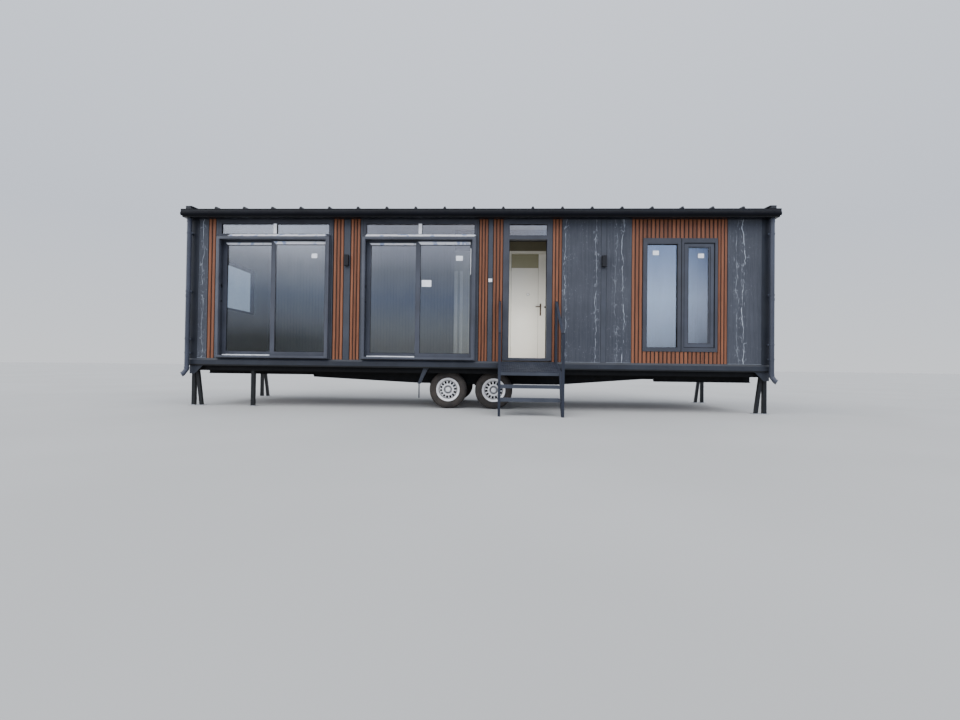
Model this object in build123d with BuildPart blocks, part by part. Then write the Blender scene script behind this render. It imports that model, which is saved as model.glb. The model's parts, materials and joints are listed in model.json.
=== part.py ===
from build123d import *
import os
from math import asin, cos, radians, sin, tan

# Tiny house on a tandem-axle trailer chassis, in millimetres.
# X runs along the house to the right, Y from the entrance side to the back, Z up from the ground.
# The origin is at the middle of the whole part's footprint, on the ground.

os.makedirs("parts", exist_ok=True)

# Hairline joint between pieces that meet
joint = 0.3

# House body
house_length = 10000
house_depth = 2550
half_length = house_length / 2
skin = 20
wall = 100
post_width = 135
post_proud = 5
end_inset = 15

# Wheels and axles
tyre_radius = 333
tyre_width = 195
bead_radius = 190.5
flange_radius = 208
wheel_inset = 200
axle_x = [-440, 370]
spindle_radius = 20
bearing_clearance = 0.05
axle_radius = 30
hub_inner = 110
drum_radius = 125
drum_width = 48
drum_clearance = 7
vent_count = 14

# Heights, stacked up from the axles
ride_height = 290
channel_height = 107
rail_height = 110
deck_rise = 45
opening_height = 2450
header_board = 75
roof_seat = 9
frame_bottom = tyre_radius + ride_height
rail_bottom = frame_bottom + channel_height
rail_top = rail_bottom + rail_height
deck_top = rail_top + deck_rise
head_height = rail_top + opening_height
cladding_top = head_height + header_board
roof_under_front = cladding_top + roof_seat

# Steps, with places and heights of their treads' front edges
post_spacing = 960
tube = 40
rear_post_y = -60
rear_post_rise = 1020
front_post_y = -920
front_post_top = 1260
tread_depth = 200
tread_thickness = 50
tread_edges = [(-640, 666), (-735, 467), (-820, 266)]

# The steps reach in front of the house and the roof behind it, so the middle lies between them
rear_eave = 60
flashing = 6
steps_reach = tube / 2 - front_post_y
front_y = (steps_reach - house_depth - rear_eave - flashing) / 2
rear_y = front_y + house_depth
wall_front = front_y + skin
wall_inner = wall_front + wall
rear_wall_outer = rear_y - skin
rear_wall_inner = rear_wall_outer - wall
end_outer = half_length - end_inset
end_wall_outer = end_outer - skin
room_half = half_length - post_width

# Roof
roof_pitch = 4
roof_slope = tan(radians(roof_pitch))
roof_overhang = 20
roof_half = half_length + roof_overhang
front_eave = 120
roof_thickness = 60
rib_pitch = 500
rib_height = 48
rib_base = 65
rib_crest = 28
end_rib_width = 70
end_rib_slope = 18
verge_width = 105
verge_drop = 106
verge_sheet = 16

# Gutter and downpipes
gutter_overhang = 60
gutter_half = half_length + gutter_overhang
gutter_back = 45
gutter_front = 215
gutter_bottom = head_height - 11
gutter_height = 127
gutter_wall = 4
pipe_radius = 37.5
pipe_inset = 15
pipe_x = half_length - pipe_inset
pipe_y_offset = 88
pipe_foot = rail_bottom - 90
bracket_heights = (3020, 2000, 1170, 927)

# Slatted cladding
slat_width_share = 0.63
slat_base = 8
slat_chamfer = 3.5
slat_pitch = 62
field_slat_pitch = 69

# The entrance side from left to right: what stands there and how wide it is
facade = [
    ("marble", 165), ("slats", 140), ("trim", 50), ("sliding", 2020), ("trim", 30), ("slats", 190), ("lamp", 115),
    ("slats", 175), ("trim", 50), ("sliding", 1990), ("trim", 30), ("slats", 160), ("socket", 83), ("slats", 177),
    ("door", 840), ("slats", 170), ("marble", 660), ("lamp", 95), ("marble", 420), ("tall", 1610), ("marble", 560),
]

# The marble boards are cut to fill what the other pieces leave
other_width = sum(width for kind, width in facade if kind != "marble")
board_width = sum(width for kind, width in facade if kind == "marble")
board_share = (2 * room_half - other_width) / board_width
spans = {}
edge = -room_half
for kind, width in facade:
    end = edge + width * (board_share if kind == "marble" else 1)
    spans.setdefault(kind, []).append((edge, end))
    edge = end
sliding_windows = spans["sliding"]
door_x = spans["door"][0]
tall_field = spans["tall"][0]
steps_shift = 10
steps_x = sum(door_x) / 2 + steps_shift

# Window and door frames
frame_depth = 130
frame_proud = 12
upper_set_back = 6
pane = 24
pane_gap = 0.3
sliding_sill = rail_top + 5
unit_joint = head_height - 311
lower_faces = (35, 35, 35, 36)
upper_faces = (50, 50, 56, 75)
mullion = 62
sash_face = 80
sash_depth = 34
sash_gap = 5
front_track_y = 24
rear_track_y = 68
meeting_shift = 35
runner_inset = 12

# Entrance frame and tall window
door_sill = rail_top + 18
door_sill_height = 28
door_jambs = (102, 90)
door_head = 78
transom_light = 198
transom_bar = 71
door_transom_top = head_height - door_head - transom_light
door_transom = (door_transom_top - transom_bar, door_transom_top)
field_sides = (195, 170)
tall_x = (tall_field[0] + field_sides[0], tall_field[1] - field_sides[1])
tall_z = (rail_top + 203, head_height - 321)
fixed_width = 640
tall_joint = tall_x[0] + fixed_width
fixed_faces = (70, 60, 66, 98)
casement_frame_faces = (45, 45, 66, 76)
casement_face = 65
casement_depth = 64
field_gap = 3

# Window in the left end wall
end_window_width = 1180
end_window_height = 970
end_window_set_back = 750
end_window_sill = 915
end_window_y = (front_y + end_window_set_back, front_y + end_window_set_back + end_window_width)
end_window_z = (deck_top + end_window_sill, deck_top + end_window_sill + end_window_height)
end_frame_face = 55
end_frame_depth = 80
end_frame_proud = 10

# Interior partition and its door
lobby_depth = 1100
partition_front = front_y + lobby_depth
partition_thickness = 80
partition_reach = (947, 550)
partition_x = (door_x[0] - partition_reach[0], door_x[1] + partition_reach[1])
leaf_shift = 180
leaf_width = 700
leaf_height = 2088
leaf_x = (door_x[0] + leaf_shift, door_x[0] + leaf_shift + leaf_width)
leaf_top = deck_top + leaf_height
leaf_thickness = 40
leaf_gap = 7
leaf_foot = 8
jamb = 45
groove_inset = 164
groove_drop = 273
groove_x = leaf_x[1] - groove_inset
groove_z = leaf_top - groove_drop
groove_width = 6
groove_depth = 3

# Chassis
frame_inset = 80
frame_half = half_length - end_inset
channel_width = 60
channel_sheet = 6
joist_width = 60
joist_count = 11
beam_inset = 430
beam_width = 60
beam_flange = 10
beam_web = 8
beam_end_inset = 60
beam_half = frame_half - beam_end_inset
beam_step = 15
beam_end_bottom = frame_bottom - 61
beam_step_bottom = frame_bottom - 101
beam_mid_bottom = frame_bottom - 188
beam_neck_bottom = frame_bottom - 50
beam_tail_bottom = frame_bottom - 108
beam_line = [
    (-beam_half, beam_end_bottom), (-2940 - beam_step, beam_end_bottom), (-2940, beam_step_bottom),
    (-1000, beam_mid_bottom), (1500, beam_mid_bottom), (3230, beam_neck_bottom),
    (3230 + beam_step, beam_tail_bottom), (beam_half, beam_tail_bottom),
]
leg = 60
leg_inset = 10
leg_x = frame_half - leg_inset
leg_y_inset = 110
brace = 54
brace_gap = 3
brace_lean = 80
brace_top_x = leg_x - leg / 2 - brace / 2 - brace_gap
brace_foot_x = brace_top_x - brace_lean
extra_leg_x = -3900
pad = 120
pad_thickness = 8

# Leaf springs, which stand on the axles and hang from the beams
spring_half = 350
spring_rise = 22
spring_width = 50
leaf = 8
leaf_reaches = (350, 260, 170)
spring_pad = 8
hanger_width = 32
hanger_depth = 14


def block(x, y, z):
    """Add a box to the open part from its low and high edge along each axis."""
    with Locations(((x[0] + x[1]) / 2, (y[0] + y[1]) / 2, (z[0] + z[1]) / 2)):
        Box(x[1] - x[0], y[1] - y[0], z[1] - z[0])


def prism(plane, points, amount):
    """Add a straight bar to the open part from its closed outline on a plane."""
    with BuildSketch(plane) as section:
        Polygon(points)
    extrude(section.sketch, amount=amount)


def roof_under(y):
    """Height of the roof's underside at one place across the house."""
    return roof_under_front + (y - front_y) * roof_slope


def save(part, name):
    """Label a finished piece and write it."""
    part.label = name
    export_step(part, f"parts/{name}.step")


# Chassis: floor frame of two channels that open inwards, joists between them
frame_y = (front_y + frame_inset, rear_y - frame_inset)
with BuildPart() as floor_frame:
    for web, inward in ((frame_y[0], 1), (frame_y[1], -1)):
        tip = web + inward * channel_width
        inner = web + inward * channel_sheet
        prism(Plane.YZ.offset(-frame_half), [
            (web, frame_bottom), (tip, frame_bottom), (tip, frame_bottom + channel_sheet),
            (inner, frame_bottom + channel_sheet), (inner, rail_bottom - channel_sheet),
            (tip, rail_bottom - channel_sheet), (tip, rail_bottom), (web, rail_bottom),
        ], 2 * frame_half)
save(floor_frame.part, "floor_frame")

joist_y = (frame_y[0] + channel_width, frame_y[1] - channel_width)
joist_reach = frame_half - joist_width / 2
with BuildPart() as cross_members:
    for number in range(joist_count):
        x = -joist_reach + 2 * joist_reach * number / (joist_count - 1)
        block((x - joist_width / 2, x + joist_width / 2), joist_y, (frame_bottom, rail_bottom))
save(cross_members.part, "cross_members")

# Main beams: a web between two flanges, the lower one bent along the fish-belly line
web_outline = [(-beam_half, frame_bottom), *beam_line, (beam_half, frame_bottom)]
flange_outline = beam_line + [(x, z + beam_flange) for x, z in reversed(beam_line)]
beam_y = (front_y + beam_inset, rear_y - beam_inset - beam_width)
with BuildPart() as main_beams:
    for y in beam_y:
        web_rear = y + (beam_width + beam_web) / 2
        prism(Plane.XZ.offset(-web_rear), web_outline, beam_web)
        prism(Plane.XZ.offset(-y - beam_width), flange_outline, beam_width)
        block((-beam_half, beam_half), (y, y + beam_width), (frame_bottom - beam_flange, frame_bottom))
save(main_beams.part, "main_beams")

# Axles with brake drums and spindles
wheel_y = (front_y + wheel_inset, rear_y - wheel_inset)
track = wheel_y[1] - wheel_y[0]
spindle_start = 62
drum_start = hub_inner + drum_clearance
drum_end = drum_start + drum_width
axle_half_profile = [(spindle_start, 0), (spindle_start, spindle_radius), (drum_start, spindle_radius),
                     (drum_start, drum_radius), (drum_end, drum_radius), (drum_end, axle_radius)]
with BuildPart() as axles:
    for x in axle_x:
        with BuildSketch(Plane(origin=(x, wheel_y[0], tyre_radius), x_dir=(0, 1, 0), z_dir=(1, 0, 0))):
            Polygon(axle_half_profile + [(track - along, radius) for along, radius in reversed(axle_half_profile)])
        revolve(axis=Axis((x, 0, tyre_radius), (0, 1, 0)))
save(axles.part, "axles")


# Suspension: arched leaf springs, hung from the beams at both ends, with an equaliser between the axles
def leaf_spring(x, y):
    """Add one spring from y to y plus its width: stacked leaves on a pad over the axle, and two hangers."""
    seat = tyre_radius + axle_radius
    block((x - 35, x + 35), (y, y + spring_width), (seat, seat + spring_pad + leaf))
    arch = (spring_half ** 2 + spring_rise ** 2) / (2 * spring_rise)
    centre_z = seat + spring_pad + leaf * len(leaf_reaches) + arch
    for number, reach in enumerate(leaf_reaches):
        upper = arch + number * leaf
        lower = upper + leaf
        turn = asin(reach / arch)
        with BuildSketch(Plane.XZ.offset(-y - spring_width)) as section:
            with BuildLine():
                across, drop = sin(turn), cos(turn)
                ThreePointArc((x - upper * across, centre_z - upper * drop), (x, centre_z - upper),
                              (x + upper * across, centre_z - upper * drop))
                Line((x + upper * across, centre_z - upper * drop), (x + lower * across, centre_z - lower * drop))
                ThreePointArc((x + lower * across, centre_z - lower * drop), (x, centre_z - lower),
                              (x - lower * across, centre_z - lower * drop))
                Line((x - lower * across, centre_z - lower * drop), (x - upper * across, centre_z - upper * drop))
            make_face()
        extrude(section.sketch, amount=spring_width)
    end_z = centre_z - arch + spring_rise
    for side in (-1, 1):
        end_x = x + side * (spring_half - hanger_width / 2)
        block((end_x - hanger_width / 2, end_x + hanger_width / 2), (y, y + spring_width),
              (end_z - hanger_depth, beam_mid_bottom))


with BuildPart() as suspension:
    for y in beam_y:
        spring_y = y + (beam_width - spring_width) / 2
        for x in axle_x:
            leaf_spring(x, spring_y)
        equaliser = (axle_x[0] + spring_half - joint, axle_x[1] - spring_half + joint)
        block(equaliser, (spring_y, spring_y + spring_width), (beam_mid_bottom - hanger_depth, beam_mid_bottom))
save(suspension.part, "suspension")


# Wheels: each is a tyre and a slotted steel rim
def wheel_plane(x, side):
    """Plane with its first axis running in from the wheel's outer face and its second axis radial."""
    face = wheel_y[0] if side == "front" else wheel_y[1]
    inward = 1 if side == "front" else -1
    return Plane(origin=(x, face, tyre_radius), x_dir=(0, inward, 0), z_dir=(inward, 0, 0))


shoulder = 45
bead_seat = 14
rim_edge = 8
rim_sheet = 5
tyre_profile = [
    (9, flange_radius + 1), (0, tyre_radius - 71), (8, tyre_radius - 27), (22, tyre_radius - 8),
    (shoulder, tyre_radius), (tyre_width - shoulder, tyre_radius), (tyre_width - 22, tyre_radius - 8),
    (tyre_width - 8, tyre_radius - 27), (tyre_width, tyre_radius - 71), (tyre_width - 9, flange_radius + 1),
    (tyre_width - bead_seat, flange_radius + 1), (tyre_width - bead_seat, bead_radius),
    (bead_seat, bead_radius), (bead_seat, flange_radius + 1),
]
rim_barrel = [
    (rim_edge, flange_radius), (rim_edge, bead_radius - 8), (tyre_width - rim_edge, bead_radius - 8),
    (tyre_width - rim_edge, flange_radius), (tyre_width - rim_edge - rim_sheet, flange_radius),
    (tyre_width - rim_edge - rim_sheet, bead_radius - joint), (rim_edge + rim_sheet, bead_radius - joint),
    (rim_edge + rim_sheet, flange_radius),
]
rim_disc = [
    (60, bead_radius - 6), (70, bead_radius - 6), (46, 124), (46, 75), (hub_inner, 75),
    (hub_inner, spindle_radius + bearing_clearance), (60, spindle_radius + bearing_clearance),
    (60, 0), (30, 0), (30, 34), (36, 34), (36, 124),
]
vent_ring = 152
vent_size = (38, 24)
for side in ("front", "rear"):
    for end, x in zip(("left", "right"), axle_x):
        axis = Axis((x, 0, tyre_radius), (0, 1, 0))
        with BuildPart() as tyre:
            with BuildSketch(wheel_plane(x, side)):
                Polygon(tyre_profile)
            revolve(axis=axis)
        save(tyre.part, f"tyre_{side}_{end}")

        with BuildPart() as rim:
            with BuildSketch(wheel_plane(x, side)):
                Polygon(rim_barrel)
                Polygon(rim_disc)
            revolve(axis=axis)
            vent_plane = Plane(origin=wheel_plane(x, side).origin, x_dir=(1, 0, 0), z_dir=(0, -1, 0))
            with BuildSketch(vent_plane):
                with PolarLocations(vent_ring, vent_count):
                    SlotOverall(*vent_size)
            extrude(amount=tyre_width / 2, both=True, mode=Mode.SUBTRACT)
        save(rim.part, f"rim_{side}_{end}")

# Levelling legs with leaning braces, and their pads
leg_rows = (front_y + leg_y_inset, rear_y - leg_y_inset)
with BuildPart() as levelling_legs:
    for y in leg_rows:
        for side in (-1, 1):
            block((side * leg_x - leg / 2, side * leg_x + leg / 2), (y - leg / 2, y + leg / 2),
                  (pad_thickness, frame_bottom))
            prism(Plane.XZ.offset(-y - brace / 2), [
                (side * (brace_top_x - brace / 2), frame_bottom), (side * (brace_top_x + brace / 2), frame_bottom),
                (side * (brace_foot_x + brace / 2), pad_thickness), (side * (brace_foot_x - brace / 2), pad_thickness),
            ], brace)
    block((extra_leg_x - leg / 2, extra_leg_x + leg / 2), (leg_rows[0] - leg / 2, leg_rows[0] + leg / 2),
          (pad_thickness, frame_bottom))
save(levelling_legs.part, "levelling_legs")

with BuildPart() as foot_pads:
    for y in leg_rows:
        for x in (-leg_x, -brace_foot_x, brace_foot_x, leg_x):
            block((x - pad / 2, x + pad / 2), (y - pad / 2, y + pad / 2), (0, pad_thickness))
    block((extra_leg_x - pad / 2, extra_leg_x + pad / 2), (leg_rows[0] - pad / 2, leg_rows[0] + pad / 2),
          (0, pad_thickness))
save(foot_pads.part, "foot_pads")

# Bottom rails round the house: a sloping top flange, a flat face and a lip that hangs below
rail_proud = 20
rail_flange = 34
rail_lip = 21
rail_lip_set_back = 6
rail_lip_sheet = 10
with BuildPart() as bottom_rails:
    for face, inner, outward in ((front_y, wall_inner, -1), (rear_y, rear_wall_inner, 1)):
        proud = face + outward * rail_proud
        lip_outer = proud - outward * rail_lip_set_back
        lip_inner = lip_outer - outward * rail_lip_sheet
        prism(Plane.YZ.offset(-half_length), [
            (inner, rail_bottom), (inner, rail_top), (face, rail_top), (proud, rail_top - rail_flange),
            (proud, rail_bottom), (lip_outer, rail_bottom), (lip_outer, rail_bottom - rail_lip),
            (lip_inner, rail_bottom - rail_lip), (lip_inner, rail_bottom),
        ], house_length)
    for span in ((room_half, half_length), (-half_length, -room_half)):
        block(span, (wall_inner + joint, rear_wall_inner - joint), (rail_bottom, rail_top))
save(bottom_rails.part, "bottom_rails")

with BuildPart() as floor_deck:
    block((-room_half, room_half), (wall_inner, rear_wall_inner), (rail_bottom, deck_top))
save(floor_deck.part, "floor_deck")

# Front wall: piers between the openings, the header over them and infill round the tall window
pier_edges = [-room_half]
for low, high in (*sliding_windows, door_x, tall_x):
    pier_edges += [low, high]
pier_edges.append(room_half)
with BuildPart() as front_wall:
    for low, high in zip(pier_edges[::2], pier_edges[1::2]):
        block((low, high), (wall_front, wall_inner), (rail_top, head_height))
save(front_wall.part, "front_wall")

with BuildPart() as front_header:
    prism(Plane.YZ.offset(-room_half), [
        (wall_front, head_height), (wall_inner, head_height),
        (wall_inner, roof_under(wall_inner)), (wall_front, roof_under(wall_front)),
    ], 2 * room_half)
save(front_header.part, "front_header")

with BuildPart() as window_infill:
    block(tall_x, (wall_front, wall_inner), (rail_top, tall_z[0]))
    block(tall_x, (wall_front, wall_inner), (tall_z[1], head_height))
save(window_infill.part, "window_infill")

# Rear wall and end walls, cut to the roof's slope
with BuildPart() as rear_wall:
    prism(Plane.YZ.offset(-room_half), [
        (rear_wall_inner, rail_top), (rear_wall_outer, rail_top),
        (rear_wall_outer, roof_under(rear_wall_outer)), (rear_wall_inner, roof_under(rear_wall_inner)),
    ], 2 * room_half)
save(rear_wall.part, "rear_wall")

end_profile = [
    (wall_inner, rail_top), (rear_wall_inner, rail_top),
    (rear_wall_inner, roof_under(rear_wall_inner)), (wall_inner, roof_under(wall_inner)),
]
end_thickness = end_wall_outer - room_half
end_window_size = (end_window_y[1] - end_window_y[0], end_window_z[1] - end_window_z[0])
end_window_middle = (sum(end_window_y) / 2, sum(end_window_z) / 2)
with BuildPart() as left_wall:
    with BuildSketch(Plane.YZ.offset(-end_wall_outer)):
        Polygon(end_profile)
        with Locations(end_window_middle):
            Rectangle(*end_window_size, mode=Mode.SUBTRACT)
    extrude(amount=end_thickness)
save(left_wall.part, "left_wall")

with BuildPart() as right_wall:
    prism(Plane.YZ.offset(room_half), end_profile, end_thickness)
save(right_wall.part, "right_wall")

# Corner posts
with BuildPart() as corner_posts:
    for low, high in ((front_y - post_proud, wall_inner), (rear_wall_inner, rear_y + post_proud)):
        for x in (-half_length, room_half):
            prism(Plane.YZ.offset(x), [
                (low, rail_top), (high, rail_top), (high, roof_under(high)), (low, roof_under(low)),
            ], post_width)
save(corner_posts.part, "corner_posts")

# Cladding: marble-look boards on every side
rear_board = 1220
rear_shift = 20
rear_joint_count = 7
cover = 30
board_top_gap = 10
rear_joints = [rear_shift + rear_board * (number - (rear_joint_count - 1) / 2) for number in range(rear_joint_count)]
rear_edges = [-room_half, *rear_joints, room_half]
with BuildPart() as cladding_boards:
    for low, high in spans["marble"]:
        block((low, high), (front_y, wall_front), (rail_top, cladding_top))
    for low, high in zip(rear_edges, rear_edges[1:]):
        prism(Plane.YZ.offset(low + cover), [
            (rear_wall_outer, rail_top), (rear_y, rail_top),
            (rear_y, roof_under(rear_y) - board_top_gap),
            (rear_wall_outer, roof_under(rear_wall_outer) - board_top_gap),
        ], high - low - 2 * cover)
    with BuildSketch(Plane.YZ.offset(-end_outer)):
        Polygon(end_profile)
        with Locations(end_window_middle):
            Rectangle(*end_window_size, mode=Mode.SUBTRACT)
    extrude(amount=skin)
    prism(Plane.YZ.offset(end_wall_outer), end_profile, skin)
save(cladding_boards.part, "cladding_boards")


# Slatted cladding: a backing board with slats standing on it
def slat_panel(x, z, wanted_pitch):
    """Add one panel of upright slats with softened edges, its own edges in the middle of the outer gaps."""
    count = round((x[1] - x[0]) / wanted_pitch)
    pitch = (x[1] - x[0]) / count
    half = pitch * slat_width_share / 2
    middle = (x[0] + x[1]) / 2
    with BuildSketch(Plane.XY.offset(z[0])) as section:
        with Locations((middle, wall_front - slat_base / 2)):
            Rectangle(x[1] - x[0] - 2 * joint, slat_base)
        with Locations((middle, 0)):
            with GridLocations(pitch, 1, count, 1):
                Polygon([
                    (-half, wall_front - slat_base), (-half, front_y + slat_chamfer), (-half + slat_chamfer, front_y),
                    (half - slat_chamfer, front_y), (half, front_y + slat_chamfer), (half, wall_front - slat_base),
                ])
    extrude(section.sketch, amount=z[1] - z[0])


full_height = (rail_top, cladding_top)
field_left = (tall_field[0], tall_x[0] - field_gap)
field_right = (tall_x[1] + field_gap, tall_field[1])
with BuildPart() as slat_panels:
    for span in (*spans["slats"], field_left, field_right):
        slat_panel(span, full_height, slat_pitch)
    for z in ((rail_top, tall_z[0] - field_gap), (tall_z[1] + field_gap, cladding_top)):
        slat_panel((field_left[1], field_right[0]), z, field_slat_pitch)
save(slat_panels.part, "slat_panels")

# Flat trims over the board joints and beside and over the openings
trim_proud = 2
rear_trim_proud = 3
with BuildPart() as joint_trims:
    for low, high in (*spans["trim"], *spans["lamp"], *spans["socket"]):
        block((low + joint, high - joint), (front_y - trim_proud, wall_front), full_height)
    for low, high in (*sliding_windows, door_x):
        block((low, high), (front_y, wall_front), (head_height, cladding_top))
    for x in rear_joints:
        block((x - cover + joint, x + cover - joint), (rear_wall_outer, rear_y + rear_trim_proud),
              (rail_top, roof_under(rear_wall_outer) - board_top_gap - 2))
save(joint_trims.part, "joint_trims")


# Window and door frames: bars with mitred corners and hairline joints
def mitred_bars(x, z, faces, y):
    """Add four bars round an opening. The faces are the bars' widths at the left, right, bottom and top."""
    left, right, bottom, top = faces
    inner_x = (x[0] + left, x[1] - right)
    inner_z = (z[0] + bottom, z[1] - top)
    bars = [
        [(x[0] + joint, z[0]), (x[1] - joint, z[0]),
         (inner_x[1] - joint, inner_z[0]), (inner_x[0] + joint, inner_z[0])],
        [(x[0] + joint, z[1]), (x[1] - joint, z[1]),
         (inner_x[1] - joint, inner_z[1]), (inner_x[0] + joint, inner_z[1])],
        [(x[0], z[0]), (inner_x[0], inner_z[0]), (inner_x[0], inner_z[1]), (x[0], z[1])],
        [(x[1], z[0]), (inner_x[1], inner_z[0]), (inner_x[1], inner_z[1]), (x[1], z[1])],
    ]
    for bar in bars:
        prism(Plane.XZ.offset(-y[1]), bar, y[1] - y[0])


def inside(x, z, faces, gap):
    """The x and z spans between an opening's bars, less a gap."""
    left, right, bottom, top = faces
    return (x[0] + left + gap, x[1] - right - gap), (z[0] + bottom + gap, z[1] - top - gap)


def pane_y(low, depth):
    """A pane's place in the middle of bars that start at one place and are that deep."""
    middle = low + depth / 2
    return (middle - pane / 2, middle + pane / 2)


frame_y_span = (front_y - frame_proud, front_y - frame_proud + frame_depth)
upper_y_span = (frame_y_span[0] + upper_set_back, frame_y_span[1])
front_track = (front_y + front_track_y, front_y + front_track_y + sash_depth)
rear_track = (front_y + rear_track_y, front_y + rear_track_y + sash_depth)
sash_faces = (sash_face,) * 4
lower_z = (sliding_sill, unit_joint - joint)
upper_z = (unit_joint, head_height)
glazing = []
for number, span in enumerate(sliding_windows, start=1):
    middle = sum(span) / 2
    meeting = middle - meeting_shift
    upper_x, light_z = inside(span, upper_z, upper_faces, joint)
    with BuildPart() as window_frame:
        mitred_bars(span, lower_z, lower_faces, frame_y_span)
        mitred_bars(span, upper_z, upper_faces, upper_y_span)
        block((middle - mullion / 2, middle + mullion / 2), upper_y_span, light_z)
    save(window_frame.part, f"window_{number}_frame")

    sash_x, sash_z = inside(span, lower_z, lower_faces, sash_gap)
    rear_sash_x = (sash_x[0], meeting + sash_face / 2)
    front_sash_x = (meeting - sash_face / 2, sash_x[1])
    with BuildPart() as sashes:
        mitred_bars(rear_sash_x, sash_z, sash_faces, rear_track)
        mitred_bars(front_sash_x, sash_z, sash_faces, front_track)
        for sash, track in ((rear_sash_x, rear_track), (front_sash_x, front_track)):
            runner_y = (track[0] + runner_inset, track[1] - runner_inset)
            for z in ((lower_z[0] + lower_faces[2], sash_z[0]), (sash_z[1], lower_z[1] - lower_faces[3])):
                block((sash[0] + sash_face, sash[1] - sash_face), runner_y, z)
    save(sashes.part, f"window_{number}_sashes")

    for low, high in ((upper_x[0] - joint, middle - mullion / 2), (middle + mullion / 2, upper_x[1] + joint)):
        glazing.append(((low + pane_gap, high - pane_gap), pane_y(upper_y_span[0], sash_depth * 2), light_z))
    for sash, track in ((rear_sash_x, rear_track), (front_sash_x, front_track)):
        glass_x, glass_z = inside(sash, sash_z, sash_faces, pane_gap)
        glazing.append((glass_x, pane_y(track[0], sash_depth), glass_z))

# Tall window: a fixed light on the left and a casement in its own frame on the right
fixed_x = (tall_x[0], tall_joint - joint)
casement_frame_x = (tall_joint, tall_x[1])
with BuildPart() as window_3_frame:
    mitred_bars(fixed_x, tall_z, fixed_faces, frame_y_span)
    mitred_bars(casement_frame_x, tall_z, casement_frame_faces, frame_y_span)
save(window_3_frame.part, "window_3_frame")

casement_x, casement_z = inside(casement_frame_x, tall_z, casement_frame_faces, joint)
casement_y = (front_y + upper_set_back, front_y + upper_set_back + casement_depth)
casement_faces = (casement_face,) * 4
with BuildPart() as window_3_sash:
    mitred_bars(casement_x, casement_z, casement_faces, casement_y)
save(window_3_sash.part, "window_3_sash")

fixed_glass_x, fixed_glass_z = inside(fixed_x, tall_z, fixed_faces, pane_gap)
glazing.append((fixed_glass_x, pane_y(front_y, sash_depth * 2), fixed_glass_z))
casement_glass_x, casement_glass_z = inside(casement_x, casement_z, casement_faces, pane_gap)
glazing.append((casement_glass_x, pane_y(casement_y[0], casement_depth), casement_glass_z))

# Entrance frame with its transom light
jamb_inner = (door_x[0] + door_jambs[0], door_x[1] - door_jambs[1])
jamb_z = (door_sill + door_sill_height + joint, head_height - door_head - joint)
with BuildPart() as door_frame:
    block(door_x, frame_y_span, (door_sill, door_sill + door_sill_height))
    block(door_x, frame_y_span, (head_height - door_head, head_height))
    block((door_x[0], jamb_inner[0]), frame_y_span, jamb_z)
    block((jamb_inner[1], door_x[1]), frame_y_span, jamb_z)
    block((jamb_inner[0] + joint, jamb_inner[1] - joint), frame_y_span, door_transom)
save(door_frame.part, "door_frame")
glazing.append(((jamb_inner[0] + pane_gap, jamb_inner[1] - pane_gap), pane_y(front_y, sash_depth * 2),
                (door_transom[1] + pane_gap, head_height - door_head - pane_gap)))

# Glass panes, each between the bars that hold it
end_frame_x = -end_outer - end_frame_proud
end_faces = (end_frame_face,) * 4
end_glass_y, end_glass_z = inside(end_window_y, end_window_z, end_faces, pane_gap)
with BuildPart() as window_glass:
    for x, y, z in glazing:
        block(x, y, z)
    glass_x = end_frame_x + (end_frame_depth - pane) / 2
    block((glass_x, glass_x + pane), end_glass_y, end_glass_z)
save(window_glass.part, "window_glass")

# Frame of the end window in the left wall
with BuildPart() as end_window_frame:
    with BuildSketch(Plane.YZ.offset(end_frame_x)):
        with Locations(end_window_middle):
            Rectangle(*end_window_size)
            Rectangle(end_window_size[0] - 2 * end_frame_face, end_window_size[1] - 2 * end_frame_face,
                      mode=Mode.SUBTRACT)
    extrude(amount=end_frame_depth)
save(end_window_frame.part, "end_window_frame")

# Interior partition with its door
partition_y = (partition_front, partition_front + partition_thickness)
opening_x = (leaf_x[0] - leaf_gap - jamb, leaf_x[1] + leaf_gap + jamb)
opening_top = leaf_top + leaf_gap + jamb
partition_top = roof_under(partition_y[0]) - 1
with BuildPart() as partition:
    block((partition_x[0], opening_x[0]), partition_y, (deck_top, opening_top))
    block((opening_x[1], partition_x[1]), partition_y, (deck_top, opening_top))
save(partition.part, "partition")

with BuildPart() as partition_header:
    block(partition_x, partition_y, (opening_top, partition_top))
save(partition_header.part, "partition_header")

with BuildPart() as inner_door_frame:
    block((opening_x[0], opening_x[0] + jamb), partition_y, (deck_top, leaf_top + leaf_gap - joint))
    block((opening_x[1] - jamb, opening_x[1]), partition_y, (deck_top, leaf_top + leaf_gap - joint))
    block(opening_x, partition_y, (leaf_top + leaf_gap, opening_top))
save(inner_door_frame.part, "inner_door_frame")

# The leaf has two grooves on each face, one up its whole height and one across beside it
leaf_y = (partition_y[1] - leaf_thickness, partition_y[1])
with BuildPart() as inner_door:
    block(leaf_x, leaf_y, (deck_top + leaf_foot, leaf_top))
    for face in leaf_y:
        with Locations((groove_x, face, (deck_top + leaf_top) / 2)):
            Box(groove_width, 2 * groove_depth, leaf_top - deck_top, mode=Mode.SUBTRACT)
        with Locations(((leaf_x[0] + groove_x) / 2, face, groove_z)):
            Box(groove_x - leaf_x[0], 2 * groove_depth, groove_width, mode=Mode.SUBTRACT)
save(inner_door.part, "inner_door")

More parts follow.
